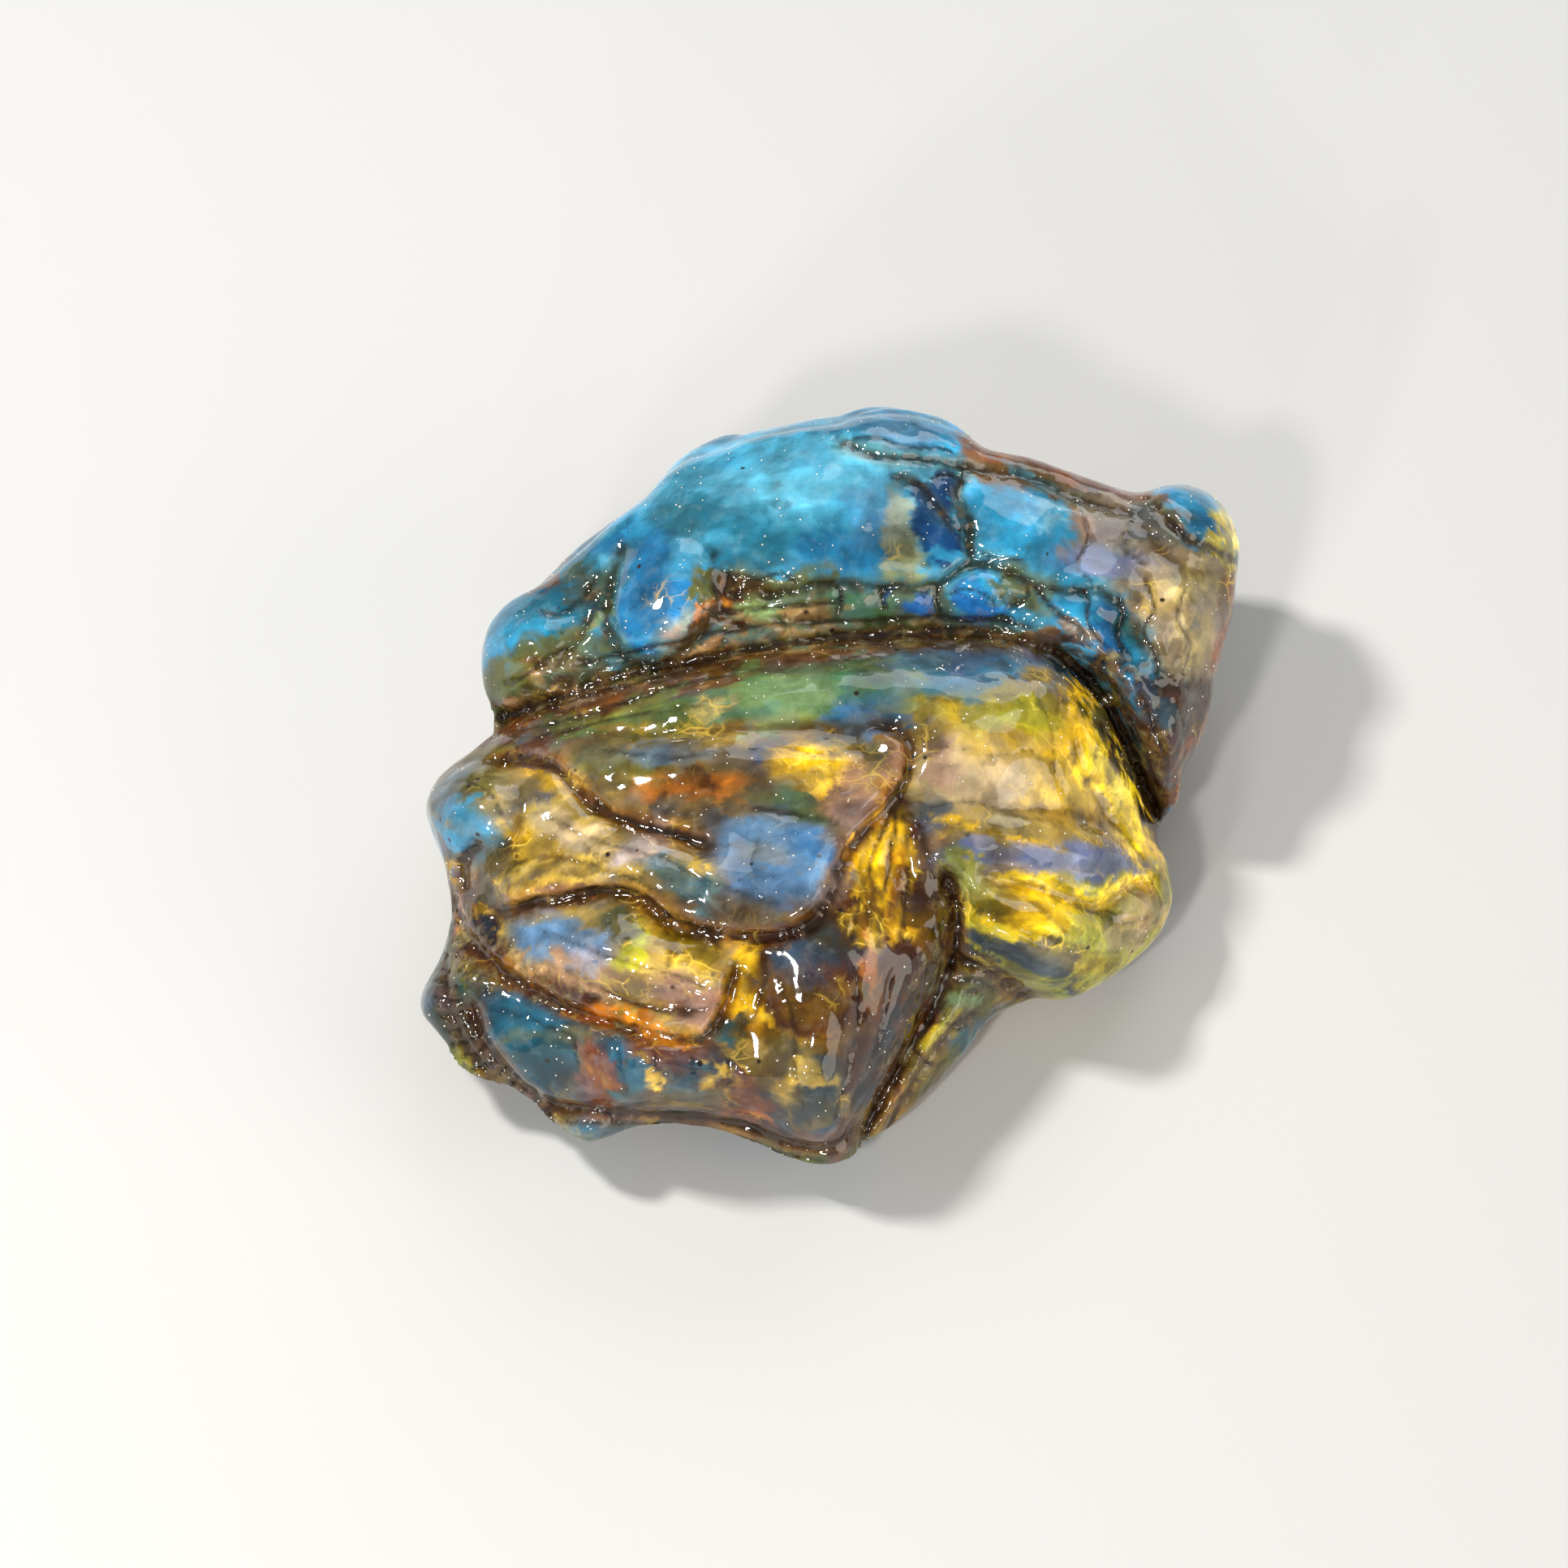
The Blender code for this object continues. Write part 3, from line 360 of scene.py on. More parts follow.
# Crusty ground between the lobes: outline and how much
crustGrounds = {
    "leftBand": ([(-27.6, 5), (-25, 8.6), (-20, 10.2), (-14, 12.2), (-8, 13.6), (-8, 10.6),
                  (-14, 8.8), (-19, 7.4), (-22.4, 5), (-27, 3.8)], 0.3),
    "upperBank": ([(-9.4, 13), (-9.8, 16.6), (-8.4, 18.8), (-5.6, 18), (-2, 18.2), (0, 17),
                   (1.6, 16.6), (1.2, 14.6), (-3, 13)], 0.36),
    "groove": ([(-9, 10.6), (-9, 13.4), (0, 14.5), (10, 15), (17, 14.6), (20, 12.6),
                (18, 11.8), (10, 12.4), (0, 11.6)], 0.28),
    "cellGround": ([(1, 14), (1, 17.6), (6, 17.9), (12, 19.6), (15.6, 19.4), (18.6, 18),
                    (21, 15), (19, 13.4), (12, 14)], 0.26),
    "gapEast": ([(19, 14), (22, 13.4), (25, 12), (27.4, 8.6), (29, 3), (29.4, 0), (27.6, -1.6),
                 (25.6, 3.6), (23, 8.6), (20, 11.6)], 0.55),
    "flankCrust": ([(26, 17), (30.6, 13), (32.2, 9.6), (31.6, 6), (29, 5), (27, 10),
                    (25, 13.6)], 0.3),
    "brownCorner": ([(24.4, 25), (26.8, 24.6), (29.2, 22.4), (29.6, 20.4), (26.4, 21),
                     (23.6, 23.4)], 0.4),
    "ravine": ([(-30.6, -6.4), (-28.8, -6.2), (-27, -9.6), (-24.4, -12.4), (-20, -14.6),
                (-15, -16.6), (-20.4, -17.2), (-24.4, -16), (-28, -16.4), (-30.6, -13)], 0.42),
    "westBand": ([(-31.6, -8), (-29.4, -8), (-28.8, -16), (-26, -20.6), (-22, -24.4),
                  (-20.4, -27), (-24.6, -27), (-29.6, -22.6), (-31.6, -18.4)], 0.28),
    "underFlap": ([(-9, -11.4), (-5, -11.6), (-1, -11), (-2.4, -12.6), (-6.4, -13)], 0.5),
    "valley": ([(8.8, -6), (11, -8), (11.4, -12), (9.4, -16.6), (6, -22), (3, -27.4),
                (1.4, -28), (4, -22), (7, -16), (8.8, -11)], 0.5),
    "lowerShelf": ([(10, -13.6), (14, -14.6), (18.4, -17.4), (14, -19), (12, -22.4),
                    (6, -27.6), (1.6, -30.6), (1, -29), (5.4, -24.6), (9, -18.6)], 0.36),
}

# sRGB tones, judged
palette = {
    "turquoise": (62, 166, 204), "sky": (118, 202, 226), "deepSky": (52, 136, 190),
    "teal": (30, 122, 144), "tealGreen": (72, 128, 104), "seaGreen": (96, 142, 96),
    "midnight": (14, 54, 112), "royal": (40, 112, 178), "slate": (62, 84, 102),
    "slateBlue": (54, 82, 98), "periwinkle": (110, 154, 192), "lavender": (134, 148, 190),
    "mauve": (132, 112, 84), "rose": (184, 148, 132), "lilacWhite": (206, 196, 204),
    "olive": (122, 116, 34), "moss": (116, 118, 62), "lime": (188, 190, 50),
    "honey": (200, 172, 84), "paleHoney": (206, 188, 120), "beige": (180, 154, 114),
    "gold": (234, 192, 24), "brightGold": (252, 226, 40), "orange": (228, 142, 26),
    "amber": (158, 94, 20), "darkAmber": (92, 50, 14), "rust": (142, 82, 50),
    "violetBrown": (92, 70, 52), "nearBlack": (34, 22, 16), "bottle": (58, 88, 76),
    "paleGreen": (158, 186, 128), "jagged": (150, 206, 226),
    "brown": (112, 66, 30), "tan": (186, 144, 98), "cream": (208, 186, 148),
}

# What is painted where on the best face, in order. Each is tone, how much, how soft, how much it
# glows as painted light shining through, and either a spot (centre, radii, tilt) or an outline.
facePatches = {
    "upperGround": ("turquoise", 1, 1.2, 0.30,
                    [(-34, 8), (-26, 8), (-18, 10), (-8, 12), (4, 13), (16, 13), (20, 12),
                     (24, 7), (28.6, -3), (40, -4), (44, 36), (-34, 40)]),
    "lowerGround": ("mauve", 1, 1.0, 0.16,
                    [(-40, 5), (-26, 6), (-18, 8.4), (-8, 10.6), (4, 12), (16, 12),
                     (20, 10.4), (24, 4.6), (28.8, -3.6), (40, -4), (40, -40), (-40, -40)]),
    # upper lobe
    "crownSky": ("sky", 0.8, 0.7, 0.42, ((-4, 25.4), (11, 4.2), 14)),
    "crownSkyTwo": ("sky", 0.5, 0.8, 0.4, ((5, 26), (5, 3), 0)),
    "leftSlope": ("teal", 0.65, 0.6, 0.2, ((-21, 16), (5, 4), 40)),
    "leftTipBlue": ("turquoise", 0.7, 0.5, 0.25, ((-25.2, 13.2), (2.4, 2.8), 30)),
    "crownTealA": ("teal", 0.75, 0.5, 0.2, ((-10.6, 22.4), (4.2, 2.6), 20)),
    "crownTealB": ("teal", 0.6, 0.5, 0.2, ((-4.6, 22), (3.2, 2.6), -10)),
    "crownTealC": ("deepSky", 0.5, 0.5, 0.25, ((2, 20), (5, 2), 0)),
    "crownLilac": ("periwinkle", 0.45, 0.6, 0.2, ((4.4, 23.4), (2.6, 3), 10)),
    "paleWindow": ("paleHoney", 0.55, 0.6, 0.25, ((6.8, 21.6), (1.3, 4.2), 6)),
    "paleWindowLow": ("lime", 0.3, 0.6, 0.25, ((7, 19.4), (1.4, 1.6), 0)),
    "facet": ("midnight", 0.85, 0.3, 0.14,
              [(8.6, 25.6), (11.2, 25.8), (11.1, 24.4), (11.9, 22.4), (12, 20), (10.4, 19.4),
               (8.4, 20.6), (7.9, 23)]),
    "facetLight": ("royal", 0.6, 0.5, 0.3, ((10.2, 21.2), (1.3, 1.6), 0)),
    "blueFieldTone": ("turquoise", 0.95, 0.35, 0.42,
                      [(12.6, 26.6), (16, 26.4), (18.6, 25), (20.4, 23.4), (19.4, 22),
                       (20.2, 20.2), (18, 19.4), (14.4, 18.8), (12.8, 19.8), (12.6, 23)]),
    "jaggedPatch": ("jagged", 0.75, 0.3, 0.34,
                    [(16.2, 25), (18.2, 24.6), (20.6, 23.4), (20, 21.6), (18.6, 22.4),
                     (17.4, 21.4), (16.8, 23)]),
    "flankSkin": ("beige", 0.92, 0.8, 0.14,
                  [(20.4, 24.6), (24.4, 25.2), (28, 23), (31, 20.6), (35.6, 20.4), (36.4, 14),
                   (34.6, 9), (30, 8.4), (28, 11), (26.6, 14), (24, 17), (21, 18.4),
                   (19.8, 21)]),
    "roseZone": ("rose", 0.7, 0.7, 0.16, ((22.8, 22.2), (3, 1.8), 10)),
    "slateZone": ("slate", 0.6, 0.7, 0.12, ((27, 22.2), (2.4, 1.2), -20)),
    "lilacZone": ("lavender", 0.75, 0.7, 0.2, ((22.6, 18.8), (4.2, 1.6), -6)),
    "flankAmber": ("honey", 0.5, 0.8, 0.26, ((28.4, 16.6), (1.8, 2.4), 0)),
    "topEdge": ("amber", 0.9, 0.6, 0.16,
                [(12, 27.2), (12.6, 30.6), (20, 29.6), (28, 27.6), (27, 24.2), (20, 25.2)]),
    "topEdgeRust": ("brown", 0.7, 0.6, 0.08, ((23.4, 24.8), (4, 0.7), -12)),
    "knobBlue": ("turquoise", 0.85, 0.5, 0.3, ((30.6, 24), (3.2, 2), -14)),
    "knobSlate": ("deepSky", 0.5, 0.5, 0.2, ((32, 21.8), (2.2, 1.6), -40)),
    "knobGold": ("brightGold", 0.9, 0.5, 0.5, ((34.2, 21.6), (1.7, 3.6), 8)),
    "humpBlue": ("periwinkle", 0.6, 0.7, 0.2, ((6.2, 30.2), (5, 1.6), 0)),
    "humpTeal": ("teal", 0.4, 0.7, 0.2, ((3, 29.8), (2.4, 1.4), 0)),
    "flankHoney": ("paleHoney", 0.6, 0.8, 0.24, ((31.2, 17), (2.6, 2.2), 0)),
    "flankHoneyTwo": ("paleHoney", 0.6, 0.7, 0.2, ((30.6, 12.4), (1.7, 1.8), 0)),
    "flankBrown": ("brown", 0.95, 0.6, 0.05,
                   [(26.8, 9.6), (34.6, 9.6), (33, 4), (30.8, -1), (28, -3.6), (26.6, 1.6),
                    (25.4, 6)]),
    "flankSlate": ("slateBlue", 0.7, 0.6, 0.12, ((27.6, 7.4), (1.3, 2.4), -20)),
    "flankGlint": ("honey", 0.7, 0.5, 0.36, ((27, 3.8), (0.7, 2.6), -12)),
    "flankRim": ("amber", 0.9, 0.5, 0.24,
                 [(34, 18), (36, 18), (34.6, 9), (31.4, 0), (29.6, -2.4), (29.4, 0.4),
                  (32, 8), (33.2, 13)]),
    "rightBlue": ("turquoise", 0.9, 0.5, 0.3, ((21.6, 14.8), (3, 2.4), -30)),
    "rightRoyal": ("royal", 0.7, 0.5, 0.3, ((23.4, 13.6), (1.4, 2), -30)),
    "rightGlass": ("slate", 0.6, 0.5, 0.15, ((23.2, 10.8), (1.2, 1.4), -30)),
    "rightTan": ("tan", 0.7, 0.5, 0.3, ((20.4, 13.4), (2.6, 0.7), -28)),
    # near-black painted shadow down the deep right gap
    "gapShadow": ("nearBlack", 0.9, 0.5, 0,
                 [(19, 12.6), (21.6, 10.8), (24.6, 6.6), (27.4, 1), (28.6, -3), (27.5, -3),
                  (25.6, 0.4), (23.6, 5.2), (21.6, 8.8), (19.4, 11.2)]),
    "gapRust": ("darkAmber", 0.8, 0.6, 0.05,
                [(22, 12), (24.6, 11), (27, 6), (28.6, 1), (27.6, 1), (25.4, 6), (23, 10)]),
    "bankLeft": ("moss", 0.9, 0.7, 0.16,
                 [(-28.4, 9.4), (-24, 12.2), (-20, 13.2), (-17.4, 12.6), (-16.6, 11.2),
                  (-12, 11), (-8, 12.4), (-8, 11), (-14, 9.4), (-20, 8), (-27.6, 6)]),
    "bankRight": ("moss", 0.8, 0.7, 0.18,
                  [(-8.8, 18.6), (-5, 18.6), (0, 17.8), (6, 17.6), (10, 17.8), (10, 14),
                   (0, 13), (-8, 12)]),
    "tipOlive": ("olive", 0.6, 0.6, 0.18, ((-22.4, 9.8), (4, 1.6), 12)),
    "tipTan": ("tan", 0.6, 0.6, 0.14, ((-21.4, 10.4), (2.2, 0.8), 10)),
    "grooveBrown": ("brown", 0.95, 0.6, 0.07,
                    [(-28.5, 4.8), (-26, 7.6), (-20, 9.4), (-12, 10.8), (-4, 12.2), (4, 13.2),
                     (12, 13.8), (18, 13.4), (20.4, 12), (16, 12), (8, 11.8), (0, 11),
                     (-8, 9.4), (-14, 7.8), (-20, 5.8), (-26, 3.6)]),
    "grooveLeaf": ("olive", 0.9, 0.4, 0.18,
                   [(-22, 5), (-16, 6.2), (-12, 8.2), (-15.6, 8), (-20, 6.8)]),
    "grooveRust": ("rust", 0.6, 0.6, 0.12, ((-25, 5.8), (2.6, 0.9), 20)),
    "grooveTan": ("tan", 0.95, 0.4, 0.4,
                  [(-27, 6.8), (-20, 9), (-12, 10.9), (-4, 12.6), (4, 13.6), (12, 13.9),
                   (17.8, 13.4), (17.8, 12.8), (12, 13.2), (4, 12.8), (-4, 11.8), (-12, 10),
                   (-20, 8.2), (-27, 6)]),
    "leafBrown": ("amber", 0.7, 0.5, 0.12, ((-21.6, 18.2), (2.4, 0.7), 38)),
    "slopeMoss": ("moss", 0.65, 0.6, 0.14, ((-19.6, 16.6), (2.6, 1.2), 40)),
    "tipMoss": ("moss", 0.6, 0.6, 0.14, ((-25.4, 9.4), (1.6, 1.4), 30)),
    "bankMoss": ("moss", 0.7, 0.8, 0.16,
                 [(-9, 13.4), (-9, 17), (-5, 17.8), (1, 17.4), (1, 14.2), (-4, 13.4)]),
    "bankHoney": ("tan", 0.6, 0.6, 0.2, ((-2, 13.9), (7, 0.6), 5)),
    "bankPale": ("paleGreen", 0.7, 0.6, 0.24, ((-5.4, 14.9), (3.4, 0.8), 8)),
    "bankBrown": ("brown", 0.9, 0.5, 0.06, ((-6, 17), (3, 0.8), -4)),
    "cellMoss": ("seaGreen", 0.6, 0.7, 0.2, [(1, 14.2), (1.4, 17), (5, 16.8), (4.6, 14.4)]),
    "stripMoss": ("moss", 0.6, 0.6, 0.14,
                  [(4, 13.6), (4, 15), (10, 15.2), (16, 15), (18.6, 14.2), (18, 13)]),
    "eyeMoss": ("moss", 0.6, 0.6, 0.16, ((17, 17), (2.4, 2), 0)),
    "beadBlue": ("deepSky", 0.8, 0.5, 0.3, ((-13.2, 16.4), (3.8, 4.4), 0)),
    "beadSky": ("sky", 0.4, 0.6, 0.3, ((-11, 19), (2, 1.6), 0)),
    "beadGold": ("paleHoney", 0.55, 0.9, 0.34, ((-11.4, 13.2), (2.4, 1.5), 30)),
    "beadRose": ("rose", 0.6, 0.8, 0.3, ((-12, 12.6), (1.2, 0.8), 0)),
    "beadRimDirt": ("brown", 0.95, 0.4, 0.06,
                    [(-9.4, 17.8), (-7.4, 15.8), (-6.4, 14.4), (-8.2, 12.8), (-10.8, 11),
                     (-14, 10.2), (-11.4, 11.6), (-9.4, 13.6), (-8.6, 15.6)]),
    "beadRim": ("olive", 0.9, 0.4, 0.24, ((-9.6, 16.2), (0.7, 2.6), 14)),
    "beadRimGold": ("orange", 0.8, 0.4, 0.3, ((-8.8, 15), (0.5, 2), -24)),
    "dripGreen": ("paleGreen", 0.85, 0.3, 0.25, ((-18.4, 14.5), (0.7, 1.9), -22)),
    "greenCell": ("seaGreen", 0.7, 0.4, 0.25, ((3.4, 15.3), (1.6, 1), 0)),
    "blueCell": ("royal", 0.9, 0.3, 0.34, ((7.4, 15.6), (2, 1.1), 2)),
    "beadCell": ("royal", 0.85, 0.3, 0.34, ((12.4, 16.2), (2, 1.8), 0)),
    "beadCellSky": ("turquoise", 0.5, 0.5, 0.4, ((12.8, 17.2), (1, 0.7), 0)),
    "eyeCell": ("moss", 0.7, 0.3, 0.3, ((15.8, 16.9), (1, 1), 0)),
    # lower lobe's upper face
    "band": ("seaGreen", 0.95, 0.6, 0.26,
             [(-22, 5.6), (-14, 8.2), (-5, 10.2), (5, 10.9), (10.4, 11.2), (10.4, 5.2),
              (0, 5.8), (-11, 5.6)]),
    "bandPale": ("paleGreen", 0.6, 0.7, 0.26, ((-3, 8), (5, 1.4), 6)),
    "bandGold": ("honey", 0.7, 0.7, 0.36, ((-9.4, 7.4), (2, 1), 14)),
    "bandOlive": ("olive", 0.5, 0.8, 0.14, ((-15, 6.6), (5, 1.4), 12)),
    "bandBlue": ("deepSky", 0.6, 0.8, 0.26, ((5, 7.4), (4, 1.8), 0)),
    "bandStreak": ("deepSky", 1, 0.3, 0.46,
                   [(-1, 6.4), (5, 7.2), (11, 5.4), (10.6, 4.4), (5, 5.2), (0, 5.4)]),
    "bandLilac": ("periwinkle", 0.65, 0.8, 0.2,
                  [(4, 11.4), (12, 12.2), (18.4, 11.2), (19.4, 8.8), (12, 8.6), (6, 9)]),
    "shoulderGround": ("honey", 0.9, 0.8, 0.2,
                       [(9.6, 8.6), (18, 9.8), (21, 6), (22, 2), (24, -3), (27, -6),
                        (12, -4), (6.6, 1), (7.4, 4.4)]),
    "shoulderCream": ("cream", 0.9, 0.7, 0.34, ((12.4, 1.4), (5.4, 3.2), -8)),
    "shoulderRose": ("rose", 0.6, 0.7, 0.2, ((10, 2.8), (2.4, 1.4), -8)),
    "shoulderSky": ("turquoise", 0.5, 0.6, 0.22, ((12.4, 9.4), (3.4, 1.2), 8)),
    "shoulderGreen": ("lime", 0.5, 0.8, 0.34, ((13.6, 7), (5, 1.8), 0)),
    "shoulderPale": ("paleHoney", 0.6, 0.7, 0.22, ((15.4, -1.4), (4.2, 1.4), -6)),
    "shoulderGold": ("gold", 0.75, 0.9, 0.34, ((18.6, 3.4), (2.6, 4.4), 14)),
    "shoulderLime": ("lime", 0.65, 0.8, 0.34, ((16.8, 6.6), (2.6, 2), 10)),
    "shoulderAmber": ("gold", 0.5, 0.8, 0.3, ((10.4, 6.4), (0.8, 1.6), 0)),
    "shoulderBlue": ("periwinkle", 0.5, 0.8, 0.16, ((8.6, -1.6), (1.8, 1.8), 0)),
    "shoulderSlate": ("slate", 0.6, 0.6, 0.12, ((8.6, -1.4), (1.6, 1), 0)),
    "shoulderStreak": ("gold", 0.8, 0.4, 0.5, ((14, -2.9), (5.4, 0.45), -10)),
    "rimGold": ("gold", 0.95, 0.5, 0.6,
                [(20.2, 9.4), (22.3, 8.4), (24, 5), (25.6, 1.8), (27, -0.8), (28.6, -4),
                 (29.6, -6.6), (27, -6.4), (24.8, -3.4), (22.8, -0.6), (21, 3), (20, 6.4)]),
    "rimBright": ("brightGold", 0.9, 0.5, 0.7, ((24.4, 0.4), (1.5, 5.8), 28)),
    "rimOlive": ("olive", 0.9, 0.4, 0.1, ((22.7, 5.8), (0.9, 2.8), 12)),
    "rimAmber": ("darkAmber", 0.8, 0.5, 0.06, ((24.6, 3.4), (0.4, 3), 22)),
    # flap
    "flapGround": ("mauve", 0.8, 0.6, 0.26,
                   [(-22, 5), (-15, 4.9), (-5, 5.3), (4, 5.5), (6.6, 4.6), (6.9, 2.6),
                    (5.8, 0), (2, -4.3), (0.5, -8.5), (-2, -11), (-8.5, -10.5),
                    (-15, -7.6), (-20, -7.6), (-25.5, -9), (-27, -3), (-25, 2)]),
    "flapOlive": ("olive", 0.75, 0.8, 0.28, ((-16.6, 3), (5.6, 1.8), -2)),
    "flapMoss": ("moss", 0.6, 0.7, 0.16, ((3.2, 4.3), (3, 1), 0)),
    "flapOrange": ("gold", 0.95, 0.8, 0.75, ((-0.4, 2.1), (3.9, 2.5), -4)),
    "flapOrangeTwo": ("orange", 0.7, 0.8, 0.36, ((-10.4, 0.8), (4.2, 1.6), -6)),
    "flapRoseTip": ("rose", 0.8, 0.8, 0.22, ((3.6, 1.4), (1.2, 1.8), 0)),
    "flapBlueSpot": ("royal", 0.75, 0.7, 0.24, ((-5, 4.1), (1.5, 0.8), 0)),
    "flapBlueTwo": ("periwinkle", 0.65, 0.8, 0.24, ((-12.4, 4), (4.4, 1.1), -4)),
    "flapPeriwinkle": ("periwinkle", 0.95, 0.7, 0.34, ((-3.6, -5), (5.2, 4.4), -20)),
    "flapSky": ("deepSky", 0.6, 0.7, 0.34, ((-1.6, -4.4), (2.2, 2), 0)),
    "flapRose": ("rose", 0.6, 0.8, 0.2, ((2.8, -0.4), (2.2, 2.4), 30)),
    "flapGreen": ("seaGreen", 0.6, 0.8, 0.2, ((-2, -1), (3.4, 1), -10)),
    "flapTipAmber": ("amber", 0.6, 0.6, 0.3, ((6, 2), (0.9, 2.4), -16)),
    "flapLowHoney": ("honey", 0.95, 0.7, 0.4,
                     [(-26, -1), (-20, 0), (-15, -2.6), (-9, -4.4), (-9, -7.4), (-14, -7),
                      (-20, -6.8), (-25, -8)]),
    "flapLowGold": ("gold", 0.85, 0.8, 0.6, ((-24, -3.6), (1.8, 2.2), -12)),
    "flapLowGoldTwo": ("gold", 0.8, 0.8, 0.6, ((-17.8, -4.6), (2, 1.4), -20)),
    "flapLowGoldThree": ("gold", 0.7, 0.8, 0.5, ((-21.8, 1.4), (2.6, 1), -28)),
    "flapLowCream": ("cream", 0.8, 0.7, 0.4, ((-20, -2.6), (3, 1.4), -16)),
    # pale lilac white, a painted highlight
    "flapLowHighlight": ("lilacWhite", 0.75, 0.7, 0.34, ((-14, -4.6), (3, 2), -24)),
    "flapLowBlue": ("teal", 0.7, 0.7, 0.24, ((-11, -7), (3.4, 1.6), -24)),
    "noseTeal": ("turquoise", 0.9, 0.7, 0.3, ((-28.6, -2.6), (3.2, 3.2), 0)),
    "noseGreen": ("olive", 0.8, 0.7, 0.24, ((-27.6, 2.2), (3.6, 1.2), 24)),
    "noseHoney": ("honey", 0.6, 0.8, 0.2, ((-25.4, 1.6), (2, 1.6), 0)),
    # lip roll
    "lipGround": ("honey", 0.85, 0.7, 0.3,
                  [(-25.5, -9.4), (-22, -8.3), (-19, -7.9), (-15, -8), (-12, -9.6),
                   (-6.5, -12), (-6.8, -14), (-8.8, -18), (-10.5, -19.3), (-14, -18.5),
                   (-18, -16), (-25, -12.5), (-27, -10)]),
    "lipSkin": ("rose", 0.7, 0.8, 0.22, ((-20, -14), (5.6, 1.8), -22)),
    "lipBlue": ("periwinkle", 0.95, 0.7, 0.34, ((-21, -11), (5, 2), -18)),
    "lipBottle": ("bottle", 0.85, 0.7, 0.14, ((-16, -10.2), (2.2, 1.8), -20)),
    "lipGold": ("gold", 0.7, 0.8, 0.36, ((-11.4, -11.8), (3.4, 1.6), -18)),
    "lipOlive": ("olive", 0.5, 0.8, 0.24, ((-9.4, -11.4), (2, 1.4), -18)),
    "lipLime": ("lime", 0.85, 0.8, 0.45, ((-15.6, -12.4), (0.8, 2.4), -34)),
    "lipLilac": ("lilacWhite", 0.5, 0.7, 0.26, ((-18.6, -13), (2.4, 0.9), -22)),
    "lipRose": ("rose", 0.9, 0.7, 0.26, ((-10.8, -15.6), (3.8, 2), -16)),
    "lipUnder": ("orange", 0.9, 0.45, 0.3,
                 [(-24.6, -14.6), (-20, -16), (-16, -17), (-12.6, -18), (-9.6, -18.6),
                  (-9.8, -19.6), (-14, -19), (-20, -17.2), (-24.8, -15.6)]),
    "lipTeal": ("teal", 0.8, 0.5, 0.24, ((-9.2, -18.6), (1.8, 0.7), -8)),
    "wedge": ("gold", 0.95, 0.5, 0.44,
              [(-6.4, -12), (-7.4, -17), (-5.4, -19), (-2.8, -17), (-3.6, -13), (-4.6, -11.6)]),
    # the ravine at the left, and the ribbed band below it
    "westTone": ("bottle", 0.95, 0.6, 0.12,
                 [(-32.8, -8.6), (-29.8, -8.6), (-28.8, -14), (-27.6, -19), (-24.4, -23),
                  (-20.6, -26), (-23, -28.4), (-29, -25), (-33.4, -19)]),
    "westSlate": ("slateBlue", 0.85, 0.7, 0.16, ((-31.4, -17), (1.6, 2.6), 0)),
    "westOlive": ("olive", 0.8, 0.6, 0.26, ((-27.2, -22.4), (2.6, 1.1), -45)),
    "westLime": ("lime", 0.5, 0.6, 0.3, ((-28.4, -21), (1.2, 0.7), -40)),
    "ravineTone": ("darkAmber", 0.95, 0.5, 0.05,
                   [(-30.8, -7), (-28.4, -7.2), (-27.2, -10), (-24.6, -12.8), (-21, -14.6),
                    (-17.6, -16), (-19, -16.8), (-23.6, -16), (-26.6, -14.8), (-29.2, -12.6)]),
    # near-black painted shade along the ravine's crease
    "ravineShade": ("nearBlack", 0.9, 0.6, 0, ((-27.4, -11.6), (0.9, 3), 38)),
    "ravineRust": ("orange", 0.6, 0.6, 0.2, ((-28.9, -9.6), (0.6, 2.4), 16)),
    # bottom roll
    "bottomGround": ("slateBlue", 0.95, 0.7, 0.12,
                     [(-28.4, -15.2), (-24, -16), (-20, -17.4), (-15, -19), (-10, -20),
                      (-5, -19.4), (1, -19.4), (2.6, -26), (0.6, -28.6), (-8, -26.4),
                      (-17, -25.4), (-23, -25.6)]),
    "bottomBrown": ("violetBrown", 0.85, 0.8, 0.06, ((-10, -22.4), (9.6, 3.4), -4)),
    "bottomTeal": ("teal", 0.8, 0.8, 0.12, ((-23.4, -19.8), (4.2, 3.4), -30)),
    "bottomRustA": ("rust", 0.9, 0.6, 0.3, ((-18, -22.2), (1.8, 3.2), 12)),
    "bottomBlue": ("teal", 0.8, 0.6, 0.22, ((-15, -22), (1.2, 3), 8)),
    "bottomRustB": ("rust", 0.7, 0.7, 0.22, ((-12.4, -20.6), (3, 1.4), -6)),
    "bottomTealB": ("teal", 0.7, 0.6, 0.2, ((-11.2, -23.4), (1.2, 2), 4)),
    "bottomLoopA": ("gold", 0.85, 0.5, 0.5, ((-13.4, -22.6), (0.5, 2.2), 10)),
    "bottomLoopB": ("gold", 0.9, 0.5, 0.5, ((-9, -23.2), (0.7, 2), 4)),
    "bottomRustC": ("rust", 0.95, 0.6, 0.3, ((-6.2, -23.8), (2.4, 2.4), 0)),
    "bottomCream": ("honey", 0.8, 0.8, 0.3, ((-5.4, -20.4), (2.8, 1.6), -10)),
    "bottomOrange": ("orange", 0.7, 0.7, 0.34, ((-6.4, -25.8), (2.6, 0.5), -8)),
    "bottomGold": ("honey", 0.85, 0.8, 0.4, ((-1.4, -22.8), (1, 3), -30)),
    "bottomGoldTwo": ("honey", 0.7, 0.8, 0.36, ((0.4, -23.4), (1, 3), 30)),
    "bottomMauve": ("mauve", 0.6, 0.7, 0.14, ((-2.6, -20.8), (2.2, 1.2), 0)),
    "toeTeal": ("teal", 0.6, 0.7, 0.16, ((-18.6, -27.4), (3, 1.3), 0)),
